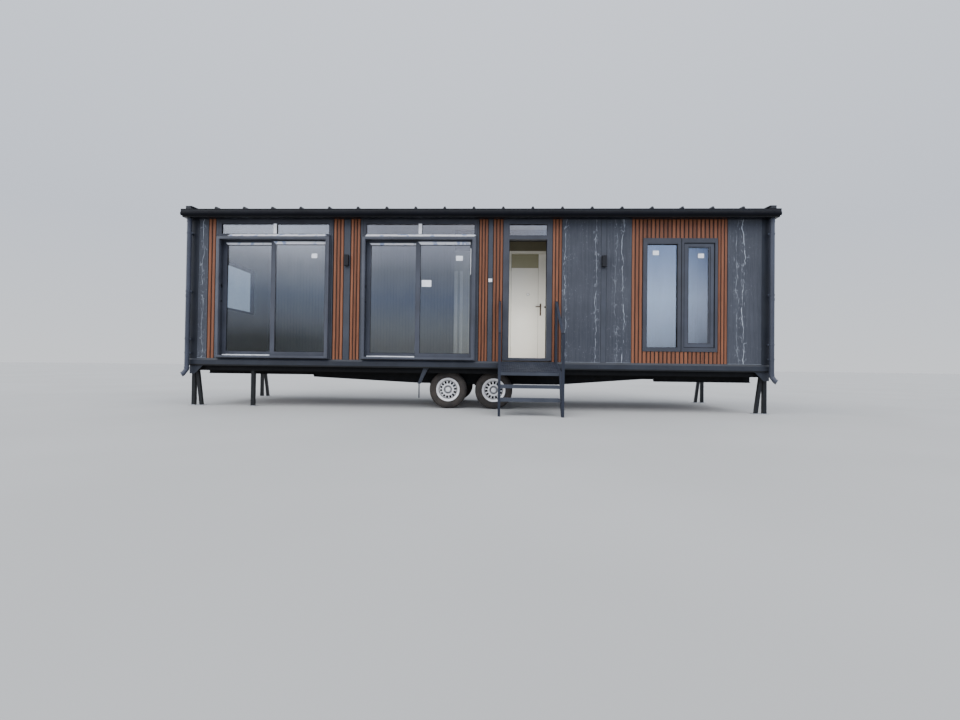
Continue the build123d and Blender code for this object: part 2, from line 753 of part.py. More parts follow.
# Lever handles, viewer and cylinder rose on both faces of the leaf, and the hinges on its far side
handle_inset = 126
handle_rise = 1045
handle_x = leaf_x[1] - handle_inset
handle_z = deck_top + handle_rise
plate_size = (30, 4, 240)
plate_drop = 50
lever_length = 110
lever_reach = 45
rose_height = 5
viewer = (sum(leaf_x) / 2 - 8, handle_z + 250, 14)
cylinder_rose = (leaf_x[1] - 40, handle_z, 17)
hinge_radius = 6
hinge_pin_radius = 3
hinge_half = 50
hinge_flange = 34
hinge_sheet = 3
hinge_rises = (215, 1015, 1815)
hinge_heights = [deck_top + rise for rise in hinge_rises]
hinge_x = leaf_x[0] - leaf_gap / 2
hinge_y = partition_y[1] + hinge_radius
with BuildPart() as door_fittings:
    for face, out in ((leaf_y[0], -1), (leaf_y[1], 1)):
        with Locations((handle_x, face + out * plate_size[1] / 2, handle_z - plate_drop)):
            Box(*plate_size)
        with Locations(Location((handle_x, face + out * (lever_reach + 8) / 2, handle_z), (90, 0, 0))):
            Cylinder(9, lever_reach + 8)
        with Locations((handle_x - lever_length / 2 + 9, face + out * (lever_reach + 8), handle_z)):
            Box(lever_length, 16, 20)
        for x, z, radius in (viewer, cylinder_rose):
            with Locations(Location((x, face + out * rose_height / 2, z), (90, 0, 0))):
                Cylinder(radius, rose_height)
    for z in hinge_heights:
        with BuildSketch(Plane.XY.offset(z + joint)):
            with Locations((hinge_x, hinge_y)):
                Circle(hinge_radius)
            with Locations((leaf_x[0] + hinge_flange / 2, partition_y[1] + hinge_sheet / 2)):
                Rectangle(hinge_flange, hinge_sheet)
            with Locations((hinge_x, hinge_y)):
                Circle(hinge_pin_radius + bearing_clearance, mode=Mode.SUBTRACT)
        extrude(amount=hinge_half)
save(door_fittings.part, "door_fittings")

jamb_edge = leaf_x[0] - leaf_gap
with BuildPart() as hinge_pins:
    for z in hinge_heights:
        with BuildSketch(Plane.XY.offset(z - hinge_half)):
            with Locations((hinge_x, hinge_y)):
                Circle(hinge_radius)
            with Locations((jamb_edge - hinge_flange / 2, partition_y[1] + hinge_sheet / 2)):
                Rectangle(hinge_flange, hinge_sheet)
        extrude(amount=hinge_half)
        with BuildSketch(Plane.XY.offset(z)):
            with Locations((hinge_x, hinge_y)):
                Circle(hinge_pin_radius)
        extrude(amount=hinge_half)
save(hinge_pins.part, "hinge_pins")

# Roof panel with ribs, extruded up the slope
roof_length = (house_depth + front_eave + rear_eave) / cos(radians(roof_pitch))
eave_y = front_y - front_eave
eave_under = roof_under(eave_y)
pan = eave_under + roof_thickness
crest = pan + rib_height
climb = (0, cos(radians(roof_pitch)), sin(radians(roof_pitch)))
ribs_each_side = int((roof_half - end_rib_width - rib_base) / rib_pitch)
roof_points = [(-roof_half, eave_under), (-roof_half, crest), (-roof_half + end_rib_width, crest),
               (-roof_half + end_rib_width + end_rib_slope, pan)]
for number in range(-ribs_each_side, ribs_each_side + 1):
    x = number * rib_pitch
    roof_points += [(x - rib_base / 2, pan), (x - rib_crest / 2, crest), (x + rib_crest / 2, crest),
                    (x + rib_base / 2, pan)]
roof_points += [(roof_half - end_rib_width - end_rib_slope, pan), (roof_half - end_rib_width, crest),
                (roof_half, crest), (roof_half, eave_under)]
with BuildPart() as roof_panel:
    with BuildSketch(Plane.XZ.offset(-eave_y)):
        Polygon(roof_points)
    extrude(amount=roof_length, dir=climb)
save(roof_panel.part, "roof_panel")

# Verge flashings over the roof's ends
with BuildPart() as verge_flashings:
    for side in (-1, 1):
        with BuildSketch(Plane.XZ.offset(-eave_y)):
            Polygon([
                (side * roof_half, crest - verge_drop), (side * (roof_half + verge_sheet), crest - verge_drop),
                (side * (roof_half + verge_sheet), crest + verge_sheet),
                (side * (roof_half + verge_sheet - verge_width), crest + verge_sheet),
                (side * (roof_half + verge_sheet - verge_width), crest), (side * roof_half, crest),
            ])
        extrude(amount=roof_length, dir=climb)
save(verge_flashings.part, "verge_flashings")

# Eave flashings along the front and rear edges
front_flashing_drop = 75
rear_flashing_drop = 90
with BuildPart() as eave_flashings:
    block((-roof_half, roof_half), (eave_y - flashing, eave_y), (pan - front_flashing_drop, pan + 2))
    rear_edge = rear_y + rear_eave
    rear_pan = pan + (rear_edge - eave_y) * roof_slope
    block((-roof_half, roof_half), (rear_edge, rear_edge + flashing),
          (rear_pan - rear_flashing_drop, rear_pan + rib_height))
save(eave_flashings.part, "eave_flashings")

# Fascia between the gutter and the cladding
back = front_y - gutter_back
back_top = roof_under(back) - 8
with BuildPart() as fascia:
    block((-half_length, half_length), (back, front_y - post_proud), (gutter_bottom + 16, back_top))
save(fascia.part, "fascia")

# Gutter with a moulded front: a curved belly, a ridge and a flat lip
lip = front_y - gutter_front
gutter_top = gutter_bottom + gutter_height
lip_edge = gutter_top - 42
ridge = gutter_top - 63
ridge_in = 10
belly_in = 38
belly_low = 15
foot_in = 52


def gutter_front_line(inset, floor):
    """Draw the gutter's front from its foot up to the lip, moved in by an inset, from a floor height."""
    ThreePointArc((lip + foot_in, floor), (lip + belly_in + inset + 4, gutter_bottom + 6),
                  (lip + belly_in + inset, gutter_bottom + belly_low))
    ThreePointArc((lip + belly_in + inset, gutter_bottom + belly_low), (lip + 28 + inset, gutter_bottom + 44),
                  (lip + ridge_in + inset, ridge))
    Polyline((lip + ridge_in + inset, ridge), (lip + inset, lip_edge), (lip + inset, gutter_top))


with BuildPart() as gutter:
    with BuildSketch(Plane.YZ.offset(-gutter_half)):
        with BuildLine():
            Polyline((back, back_top), (back, gutter_bottom), (lip + foot_in, gutter_bottom))
            gutter_front_line(0, gutter_bottom)
            Line((lip, gutter_top), (lip + gutter_wall, gutter_top))
            gutter_front_line(gutter_wall, gutter_bottom + gutter_wall)
            Polyline((lip + foot_in, gutter_bottom + gutter_wall), (back - gutter_wall, gutter_bottom + gutter_wall),
                     (back - gutter_wall, back_top), (back, back_top))
        make_face()
    extrude(amount=2 * gutter_half)
    for x in (-gutter_half, gutter_half - gutter_wall):
        with BuildSketch(Plane.YZ.offset(x)):
            with BuildLine():
                Polyline((lip, gutter_top), (back, back_top), (back, gutter_bottom), (lip + foot_in, gutter_bottom))
                gutter_front_line(0, gutter_bottom)
            make_face()
        extrude(amount=gutter_wall)
save(gutter.part, "gutter")

# Downpipes with angled shoes, and their brackets
pipe_y = front_y - pipe_y_offset
shoe = (35, -40, -80)
with BuildPart() as downpipes:
    for side in (-1, 1):
        with BuildLine():
            Polyline((side * pipe_x, pipe_y, gutter_bottom), (side * pipe_x, pipe_y, pipe_foot),
                     (side * (pipe_x + shoe[0]), pipe_y + shoe[1], pipe_foot + shoe[2]))
        with BuildSketch(Plane(origin=(side * pipe_x, pipe_y, gutter_bottom), z_dir=(0, 0, -1))):
            Circle(pipe_radius)
        sweep(transition=Transition.RIGHT)
save(downpipes.part, "downpipes")

bracket_width = 24
bracket_sheet = 4
arm_end = front_y - post_proud
with BuildPart() as pipe_brackets:
    for side in (-1, 1):
        for z in bracket_heights:
            with BuildSketch(Plane.XY.offset(z - bracket_width / 2)):
                with Locations((side * pipe_x, pipe_y)):
                    Circle(pipe_radius + bracket_sheet)
                with Locations((side * pipe_x, (pipe_y + arm_end) / 2)):
                    Rectangle(bracket_width, arm_end - pipe_y)
                with Locations((side * pipe_x, pipe_y)):
                    Circle(pipe_radius + joint, mode=Mode.SUBTRACT)
            extrude(amount=bracket_width)
save(pipe_brackets.part, "pipe_brackets")

# Wall lamps that shine up and down, each a rounded body on a back plate, with a recess at both ends
lamp_size = (76, 58, 190)
lamp_plate = (56, 8, 150)
lamp_recess = (22, 20)
lamp_rise = 1630
lamp_z = rail_top + lamp_rise
lamp_corner = 7
trim_face = front_y - trim_proud
with BuildPart() as wall_lamps:
    for low, high in spans["lamp"]:
        x = (low + high) / 2
        middle_y = trim_face - lamp_plate[1] - lamp_size[1] / 2
        middle_z = lamp_z + lamp_size[2] / 2
        block((x - lamp_plate[0] / 2, x + lamp_plate[0] / 2), (trim_face - lamp_plate[1], trim_face),
              (middle_z - lamp_plate[2] / 2, middle_z + lamp_plate[2] / 2))
        with BuildSketch(Plane.XY.offset(lamp_z)):
            with Locations((x, middle_y)):
                RectangleRounded(lamp_size[0], lamp_size[1], lamp_corner)
        extrude(amount=lamp_size[2])
        for z in (lamp_z, lamp_z + lamp_size[2] - lamp_recess[1]):
            with BuildSketch(Plane.XY.offset(z)):
                with Locations((x, middle_y)):
                    Circle(lamp_recess[0])
            extrude(amount=lamp_recess[1], mode=Mode.SUBTRACT)
save(wall_lamps.part, "wall_lamps")

# Small electrical fitting on its trim
socket_size = (62, 18, 58)
socket_rise = 1364
socket_z = rail_top + socket_rise
socket_middle = sum(spans["socket"][0]) / 2
with BuildPart() as socket_plate:
    block((socket_middle - socket_size[0] / 2, socket_middle + socket_size[0] / 2),
          (trim_face - socket_size[1], trim_face), (socket_z, socket_z + socket_size[2]))
    chamfer(socket_plate.faces().sort_by(Axis.Y)[0].edges(), length=5)
save(socket_plate.part, "socket_plate")

# Corner gussets under the rail
gusset_inset = 10
gusset_sheet = 6
gusset_foot = 90
gusset_reach = 260
with BuildPart() as corner_gussets:
    for side in (-1, 1):
        for y in (front_y + gusset_inset, rear_y - gusset_inset - gusset_sheet):
            prism(Plane.XZ.offset(-y - gusset_sheet), [
                (side * half_length, rail_bottom), (side * half_length, beam_end_bottom),
                (side * (half_length - gusset_foot), beam_end_bottom),
                (side * (half_length - gusset_reach), rail_bottom),
            ], gusset_sheet)
save(corner_gussets.part, "corner_gussets")

# Stay ahead of the left wheel: a tapered plate that leans out, with a rod below
stay_y = (front_y + 30, front_y + 70)
stay_top = (-844, -757)
stay_foot = (-952, -902)
stay_bottom = frame_bottom - 187
rod_radius = 11
rod_bottom = stay_bottom - 247
with BuildPart() as diagonal_stay:
    prism(Plane.XZ.offset(-stay_y[1]), [
        (stay_top[0], rail_bottom), (stay_top[1], rail_bottom),
        (stay_foot[1], stay_bottom), (stay_foot[0], stay_bottom),
    ], stay_y[1] - stay_y[0])
    with BuildSketch(Plane.XY.offset(rod_bottom)):
        with Locations((sum(stay_foot) / 2, sum(stay_y) / 2)):
            Circle(rod_radius)
    extrude(amount=stay_bottom - rod_bottom)
save(diagonal_stay.part, "diagonal_stay")

# Steps: treads, sloping landing, stringers, posts and handrails
tread_half = post_spacing / 2 - tube / 2 - joint
tread_x = (steps_x - tread_half, steps_x + tread_half)
with BuildPart() as stair_treads:
    for y, z in tread_edges:
        block(tread_x, (front_y + y, front_y + y + tread_depth), (z - tread_thickness, z))
save(stair_treads.part, "stair_treads")

landing_top = rail_top - 10
landing_start = front_y - rail_proud - 5
landing_edge_y, landing_edge_z = tread_edges[0]
landing_sheet = 6
with BuildPart() as landing_plate:
    prism(Plane.YZ.offset(tread_x[0]), [
        (landing_start, landing_top), (front_y + landing_edge_y, landing_edge_z + landing_sheet),
        (front_y + landing_edge_y, landing_edge_z), (landing_start, landing_top - landing_sheet),
    ], 2 * tread_half)
save(landing_plate.part, "landing_plate")

stringer_top = rail_top - 20
stringer_seat = front_y - rail_proud
post_foot_y = front_y + front_post_y + tube / 2
knee_y = front_y + landing_edge_y
with BuildPart() as stair_stringers:
    for side in (-1, 1):
        prism(Plane.YZ.offset(steps_x + side * post_spacing / 2 - tube / 2), [
            (stringer_seat, stringer_top - tube - 10), (stringer_seat, stringer_top),
            (front_y + rear_post_y - tube / 2, stringer_top), (knee_y, landing_edge_z + landing_sheet + 4),
            (knee_y - 15, landing_edge_z - 26), (post_foot_y, 0), (post_foot_y + 45, 0),
            (knee_y + 28, landing_edge_z - 41),
        ], tube)
save(stair_stringers.part, "stair_stringers")

rear_post_top = rail_top + rear_post_rise
with BuildPart() as stair_posts:
    for side in (-1, 1):
        x = steps_x + side * post_spacing / 2
        for y, z in ((front_post_y, (0, front_post_top)), (rear_post_y, (stringer_top, rear_post_top))):
            block((x - tube / 2, x + tube / 2), (front_y + y - tube / 2, front_y + y + tube / 2), z)
save(stair_posts.part, "stair_posts")

rail_start = front_y + front_post_y + tube / 2 + joint
rail_end = front_y + rear_post_y - tube / 2 - joint
with BuildPart() as handrails:
    for side in (-1, 1):
        prism(Plane.YZ.offset(steps_x + side * post_spacing / 2 - tube / 2), [
            (rail_start, front_post_top - 50), (rail_end, rear_post_top - 45),
            (rail_end, rear_post_top), (rail_start, front_post_top - 5),
        ], tube)
save(handrails.part, "handrails")
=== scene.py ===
import json
from math import cos, pi, radians, sin, tan

import bmesh
import bpy
from mathutils import Matrix, Vector
from numpy import interp


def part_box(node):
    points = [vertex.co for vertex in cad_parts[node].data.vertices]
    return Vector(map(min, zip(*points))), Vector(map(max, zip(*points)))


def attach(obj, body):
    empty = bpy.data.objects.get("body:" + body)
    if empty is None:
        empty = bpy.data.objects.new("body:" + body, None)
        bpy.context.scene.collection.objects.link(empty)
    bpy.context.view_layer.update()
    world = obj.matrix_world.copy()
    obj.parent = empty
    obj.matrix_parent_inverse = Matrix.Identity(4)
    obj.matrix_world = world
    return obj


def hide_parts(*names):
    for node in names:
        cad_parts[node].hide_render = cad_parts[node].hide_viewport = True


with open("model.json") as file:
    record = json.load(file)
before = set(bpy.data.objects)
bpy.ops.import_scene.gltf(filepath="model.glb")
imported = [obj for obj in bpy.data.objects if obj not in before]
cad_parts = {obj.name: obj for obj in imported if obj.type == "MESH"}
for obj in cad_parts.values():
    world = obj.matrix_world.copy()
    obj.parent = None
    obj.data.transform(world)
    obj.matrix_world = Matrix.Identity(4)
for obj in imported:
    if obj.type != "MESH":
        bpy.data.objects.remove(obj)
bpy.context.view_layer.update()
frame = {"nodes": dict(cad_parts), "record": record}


def low(name):
    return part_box(name)[0]


def high(name):
    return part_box(name)[1]


def centre(box):
    return (box[0] + box[1]) / 2


def solids(name):
    """The boxes of a node's separate solids, as (low corner, high corner), from left to right and upwards."""
    work = bmesh.new()
    work.from_mesh(frame["nodes"][name].data)
    bmesh.ops.remove_doubles(work, verts=work.verts, dist=1e-5)
    boxes, seen = [], set()
    for start in work.verts:
        if start in seen:
            continue
        seen.add(start)
        group, waiting = [], [start]
        while waiting:
            vertex = waiting.pop()
            group.append(vertex.co.copy())
            for edge in vertex.link_edges:
                other = edge.other_vert(vertex)
                if other not in seen:
                    seen.add(other)
                    waiting.append(other)
        columns = list(zip(*group))
        boxes.append((Vector(map(min, columns)), Vector(map(max, columns))))
    work.free()
    return sorted(boxes, key=lambda box: tuple(round(value, 3) for value in (box[0].x, box[0].z, box[0].y)))


# Places taken from the frame
skin = 0.02
wall_front = low("front_wall").y
wall_rear = high("rear_wall").y
front = wall_front - skin
rear = wall_rear + skin
wall_inner = high("front_wall").y
rear_inner = low("rear_wall").y
rail_top = high("bottom_rails").z
half_length = high("bottom_rails").x
room_half = high("floor_deck").x
end_outer = high("cladding_boards").x
head_height = high("front_wall").z
cladding_top = high("slat_panels").z
roof_slope = radians(4)
header_rise = 0.084
roof_under_front = low("front_header").z + header_rise
panes = solids("window_glass")
sides = ("front", "rear")
ends = {"left": -1, "right": 1}


def roof_under(y):
    """Height of the roof's underside at one place across the house."""
    return roof_under_front + (y - front) * tan(roof_slope)


def spread(count, start, end):
    """The middles of the equal parts of a length."""
    return [start + (number + 0.5) * (end - start) / count for number in range(count)]


# Places of a bar that runs up, along the house or across it
def upright(u, v, w):
    return (u, v, w)


def lengthwise(u, v, w):
    return (w, u, v)


def crosswise(u, v, w):
    return (u, w, v)


def turned(origin, out):
    """Places of a turned form that stands on a point, with its axis along a direction."""
    origin, out = Vector(origin), Vector(out).normalized()
    side = out.orthogonal().normalized()
    up = out.cross(side)
    return lambda along, across, rise: origin + out * along + side * across + up * rise


def new_object(name, data):
    made = bpy.data.objects.new(name, data)
    bpy.context.scene.collection.objects.link(made)
    return made


class Shape:
    """Points and faces of one piece, gathered before it becomes an object."""

    def __init__(self):
        self.points = []
        self.faces = []

    def add(self, points, faces):
        start = len(self.points)
        self.points += [tuple(point) for point in points]
        self.faces += [tuple(start + index for index in face) for face in faces]

    def prism(self, outline, place, low_end, high_end):
        """A straight bar. The outline is closed, and place(u, v, w) gives a point, with w along the bar."""
        count = len(outline)
        points = [place(u, v, w) for w in (low_end, high_end) for u, v in outline]
        walls = [(i, (i + 1) % count, count + (i + 1) % count, count + i) for i in range(count)]
        self.add(points, walls + [tuple(range(count)), tuple(range(2 * count - 1, count - 1, -1))])

    def block(self, x, y, z):
        self.prism([(x[0], y[0]), (x[1], y[0]), (x[1], y[1]), (x[0], y[1])], upright, z[0], z[1])

    def ring(self, outer, widths, place, low_end, high_end):
        """A closed frame inside a rectangle (low u, low v, high u, high v), its four widths in that order."""
        inner = tuple(edge + sign * width for edge, sign, width in zip(outer, (1, 1, -1, -1), widths))
        points = []
        for w in (low_end, high_end):
            for u0, v0, u1, v1 in (outer, inner):
                points += [place(u0, v0, w), place(u1, v0, w), place(u1, v1, w), place(u0, v1, w)]
        faces = []
        for k in range(4):
            n = (k + 1) % 4
            faces += [(k, n, 8 + n, 8 + k), (4 + n, 4 + k, 12 + k, 12 + n), (k, 4 + k, 4 + n, n),
                      (8 + k, 8 + n, 12 + n, 12 + k)]
        self.add(points, faces)

    def wrap(self, loops):
        """A skin over closed loops of points, each joined to the next and the last to the first."""
        count = len(loops[0])
        faces = []
        for step in range(len(loops)):
            here, there = step * count, (step + 1) % len(loops) * count
            for i in range(count):
                after = (i + 1) % count
                faces.append((here + i, here + after, there + after, there + i))
        self.add([point for loop in loops for point in loop], faces)

    def lathe(self, profile, place, segments=32):
        """A turned solid with a closed profile of (along the axis, radius), in a turned place."""
        angles = [2 * pi * step / segments for step in range(segments)]
        self.wrap([[place(a, r * cos(angle), r * sin(angle)) for a, r in profile] for angle in angles])

    def rod(self, place, start, end, radius, segments):
        self.lathe([(start, 0), (start, radius), (end, radius), (end, 0)], place, segments)

    def screw(self, origin, out, radius=0.0045, height=0.0025):
        """A low domed head."""
        self.lathe([(-0.0005, 0), (-0.0005, radius), (height * 0.5, radius * 0.9), (height, radius * 0.4),
                    (height, 0)], turned(origin, out), 12)

    def hexagon(self, origin, out, radius=0.01, height=0.008):
        """A bolt head or nut on a washer."""
        place = turned(origin, out)
        self.rod(place, -0.0005, 0.0015, radius * 1.35, 20)
        self.lathe([(0.0012, 0), (0.0012, radius), (height * 0.85, radius), (height, radius * 0.82),
                    (height, 0)], place, 6)

    def make(self, name, finish, body="house", bevel=0.0, segments=1, replaces=(), angle=35):
        """Turn the shape into a piece that rides on a body."""
        mesh = bpy.data.meshes.new(name)
        mesh.from_pydata(self.points, [], self.faces)
        work = bmesh.new()
        work.from_mesh(mesh)
        bmesh.ops.remove_doubles(work, verts=work.verts, dist=1e-6)
        bmesh.ops.dissolve_degenerate(work, edges=work.edges, dist=1e-6)
        bmesh.ops.recalc_face_normals(work, faces=work.faces)
        if bevel:
            corner = radians(30)
            sharp = [edge for edge in work.edges if edge.is_manifold and edge.calc_face_angle(0) > corner]
            bmesh.ops.bevel(work, geom=sharp, offset=bevel, segments=segments, affect="EDGES", profile=0.5,
                            clamp_overlap=True)
        work.to_mesh(mesh)
        work.free()
        mesh.shade_smooth()
        mesh.set_sharp_from_angle(angle=radians(angle))
        mesh.materials.append(finishes[finish])
        piece = new_object(name, mesh)
        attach(piece, body)
        if replaces:
            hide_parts(*replaces)


def shapes(count):
    return [Shape() for _ in range(count)]


# Nodes of materials and of the studio
class Value:
    """What a node gives. A sum written with + - * / makes the node that works it out."""

    def __init__(self, socket):
        self.socket = socket

    def __add__(self, other):
        return calc("ADD", self, other)

    def __sub__(self, other):
        return calc("SUBTRACT", self, other)

    def __mul__(self, other):
        return calc("MULTIPLY", self, other)

    def __truediv__(self, other):
        return calc("DIVIDE", self, other)

    def scaled(self, factor, shift):
        return calc("MULTIPLY_ADD", self, factor, shift)


def start_nodes(owner, shader_name, coordinate):
    """Give a material or world its nodes. Every node that is made after this goes into it."""
    global tree, shader, here
    owner.use_nodes = True
    tree = owner.node_tree
    shader = tree.nodes[shader_name]
    here = node("TexCoord", {}, coordinate)


finishes = {}


def material(name):
    """Start a material and keep it under its name."""
    finishes[name] = bpy.data.materials.new(name)
    start_nodes(finishes[name], "Principled BSDF", "Object")


def feed(socket, value):
    """Link a value to a socket, or set the socket's own."""
    if isinstance(value, Value):
        tree.links.new(value.socket, socket)
    elif isinstance(value, tuple) and len(value) == 3 and socket.type == "RGBA":
        socket.default_value = (*value, 1)
    else:
        socket.default_value = value


def node(kind, inputs, output=0, **settings):
    made = tree.nodes.new("ShaderNode" + kind)
    for name, value in settings.items():
        setattr(made, name, value)
    for key, value in inputs.items():
        feed(made.inputs[key], value)
    return Value(made.outputs[output])


def surface(**values):
    """Set the shader's sockets, with underscores for the spaces in their names."""
    for name, value in values.items():
        feed(shader.inputs[name.replace("_", " ")], value)


def paint(colour, roughness, gloss=0.5, metal=0.0):
    surface(Base_Color=colour, Roughness=roughness, Specular_IOR_Level=gloss, Metallic=metal)


def calc(operation, a, b=0.0, c=0.0):
    return node("Math", {0: a, 1: b, 2: c}, operation=operation)


def axes(place=None):
    first = node("SeparateXYZ", {0: place or here})
    return [Value(socket) for socket in first.socket.node.outputs]


def vector(x, y, z):
    return node("CombineXYZ", {0: x, 1: y, 2: z})


def stretch(scale, place=None, offset=(0, 0, 0)):
    """Coordinates scaled along each axis."""
    return node("Mapping", {"Vector": place or here, "Scale": scale, "Location": offset})


def noise(scale, detail, roughness, place=None, distortion=0.0):
    return node("TexNoise", {"Vector": place or here, "Scale": scale,
                             "Detail": detail, "Roughness": roughness,
                             "Distortion": distortion}, "Fac")


def chance(value):
    """A random number for each whole number."""
    return node("TexWhiteNoise", {"W": value}, "Value", noise_dimensions="1D")


def fade(value, start, end, low_value=0.0, high_value=1.0):
    """A smooth step from low_value to high_value as value goes from start to end."""
    inputs = {0: value, 1: start, 2: end, 3: low_value, 4: high_value}
    return node("MapRange", inputs, interpolation_type="SMOOTHSTEP")


def blend(dust_and_painted_shade, a, b, kind="MIX"):
    """Mix two colours."""
    return node("Mix", {0: dust_and_painted_shade, 6: a, 7: b}, 2, data_type="RGBA", blend_type=kind)


def ramp(value, *stops):
    """Colours along a value, each stop as (place, colour)."""
    made = node("ValToRGB", {0: value})
    elements = made.socket.node.color_ramp.elements
    while len(elements) < len(stops):
        elements.new(0.5)
    for element, (place, colour) in zip(elements, stops):
        element.position = place
        element.color = (*colour, 1)
    return made


def bump(height, strength, distance):
    surface(Normal=node("Bump", {"Height": height, "Strength": strength, "Distance": distance}))


def shade(colour, factor):
    return tuple(channel * factor for channel in colour)


def coated_metal(name, colour, roughness=0.4, dust=0.1, wear=0.0, gloss=0.35, painted_shade_below=0.0):
    """Powder-coated metal: faint mottling, dust on upper faces, orange peel, and painted shade in near-black
    below one height where given.
    """
    material(name)
    base = blend(fade(noise(1.7, 5, 0.6), 0.35, 0.65), shade(colour, 0.84), shade(colour, 1.14))
    grime = noise(9, 8, 0.68, stretch((1, 1, 0.35)))
    upward = axes(node("NewGeometry", {}, "Normal"))[2]
    settle = fade(grime, 0.5, 0.75, 0, 0.35) + fade(upward, 0.4, 1.0, 0, 0.5)
    coat = blend(settle * dust, base, (0.26, 0.245, 0.22))
    if wear:
        chips = fade(noise(38, 8, 0.75), 0.66 - wear * 0.1, 0.7)
        coat = blend(chips * 0.6, coat, (0.09, 0.04, 0.022))
    # Painted shade: near-black below the given height stands in for the shadow under a part.
    if painted_shade_below:
        coat = blend(calc("LESS_THAN", axes()[2], painted_shade_below), coat, (0.003, 0.003, 0.0035))
    paint(coat, fade(grime, 0.3, 0.75, roughness - 0.06, roughness + 0.16), gloss)
    bump(noise(420, 2, 0.5), 0.12, 0.0004)


def marble_board(name, veins=(), vein_pitch=0.0):
    """Printed board without gloss: blue-grey ground, upright streaks, kinked veins, cracks and specks."""
    material(name)
    x, y, z = axes()
    along = x + y
    flat = vector(along, 0.0, z)
    cloud = noise(1.3, 6, 0.62, flat)
    ground = blend(fade(cloud, 0.3, 0.7), (0.039, 0.043, 0.056), (0.058, 0.063, 0.077))
    streaks = noise(1.0, 4, 0.75, stretch((34, 1, 0.9), flat))
    ground = blend(fade(streaks, 0.42, 0.75, 0, 0.28), ground, (0.12, 0.135, 0.16))
    ground = blend(fade(streaks, 0.34, 0.5, 0.18, 0), ground, (0.03, 0.034, 0.045))

    def zigzag(seed, step, reach):
        """A sideways shift that runs straight between kinks."""
        place = z.scaled(1 / step, seed)
        cell = calc("FLOOR", place)
        start = chance(cell)
        rise = chance(cell + 1.0) - start
        return rise.scaled(calc("FRACT", place), start).scaled(2 * reach, -reach)

    def vein(middle, seed, amplitude, width, strength):
        """One broken line with kinks, and fine cracks beside it."""
        lane = vector(seed, 0.0, z)
        wander = noise(1.3, 2, 0.5, lane).scaled(3 * amplitude, -1.5 * amplitude)
        kinks = zigzag(seed, 0.17, 0.02) + zigzag(calc("ADD", seed, 31.3), 0.043, 0.009)
        distance = calc("ABSOLUTE", along - (wander + middle + kinks))
        swell = fade(noise(7, 3, 0.6, lane), 0.35, 0.65, width * 0.45, width * 1.3)
        line = fade(distance / swell, 0.5, 1.0, 1, 0)
        broken = fade(noise(4.3, 4, 0.65, stretch((1, 1, 1), lane, (8.7, 0, 0))), 0.4, 0.52)
        beside = fade(distance, 0.01, 0.09, 1, 0) * cracks
        return calc("MAXIMUM", line * broken, beside * 0.5) * strength

    crazed = vector(noise(18, 3, 0.6, flat).scaled(0.025, along), 0.0, z)
    edge = node("TexVoronoi", {"Vector": stretch((26, 1, 9), crazed), "Scale": 1.0}, "Distance",
                feature="DISTANCE_TO_EDGE")
    cracks = fade(edge, 0.015, 0.06, 1, 0) * fade(noise(9, 3, 0.6, flat), 0.52, 0.58)
    speck = fade(noise(62, 2, 0.5, flat), 0.665, 0.71)
    total = speck * fade(noise(2.6, 4, 0.6, flat), 0.44, 0.6) * 0.7
    for number, (middle, *look) in enumerate(veins):
        total = calc("MAXIMUM", total, vein(middle + front, 107.3 * (number + 1), *look))
    if vein_pitch:
        cell = calc("FLOOR", along / vein_pitch)
        local = cell.scaled(vein_pitch, vein_pitch / 2)
        for shift, *look in ((-0.11, 0.06, 0.006, 0.75), (0.12, 0.09, 0.0045, 0.55)):
            seed = cell.scaled(53.7, 11 + 40 * shift)
            total = calc("MAXIMUM", total, vein(local + shift, seed, *look))
    paint(blend(total, ground, (0.46, 0.5, 0.56)), fade(cloud, 0.3, 0.7, 0.5, 0.62), 0.3)
    bump(streaks + noise(300, 2, 0.5, flat), 0.25, 0.0006)


def slat_wood(name, dark, light, spread_of_tone):
    """Wood-look slats: upright grain, each slat a little different in tone."""
    material(name)
    island = node("NewGeometry", {}, "Random Per Island")
    moved = node("VectorMath", {0: here, 1: vector(island * 9.0, 0.0, island)}, operation="ADD")
    grain = noise(1.0, 8, 0.62, stretch((70, 70, 2.2), moved), 0.6)
    pores = noise(1.0, 3, 0.6, stretch((420, 420, 9), moved))
    wood = ramp(grain, (0.28, dark), (0.5, tuple((a + b) / 2 for a, b in zip(dark, light))), (0.74, light))
    wood = blend(fade(pores, 0.55, 0.75, 0, 0.45), wood, shade(dark, 0.55))
    tone = fade(island, 0, 1, 1 - spread_of_tone, 1 + spread_of_tone)
    paint(blend(1.0, wood, vector(tone, tone, tone), "MULTIPLY"), fade(grain, 0.3, 0.7, 0.46, 0.6), 0.3)
    bump(grain + pores, 0.35, 0.0008)


def clear_glass():
    """Insulated glass with a strong sheen, very slight waviness and faint smears."""
    material("pane_glass")
    smear = noise(5, 6, 0.6, stretch((1, 1, 0.4)))
    paint(blend(fade(smear, 0.3, 0.7), (0.6, 0.68, 0.76), (0.66, 0.73, 0.8)), 0.0)
    surface(IOR=2.1, Transmission_Weight=1.0)
    bump(noise(1.6, 2, 0.5), 0.02, 0.01)


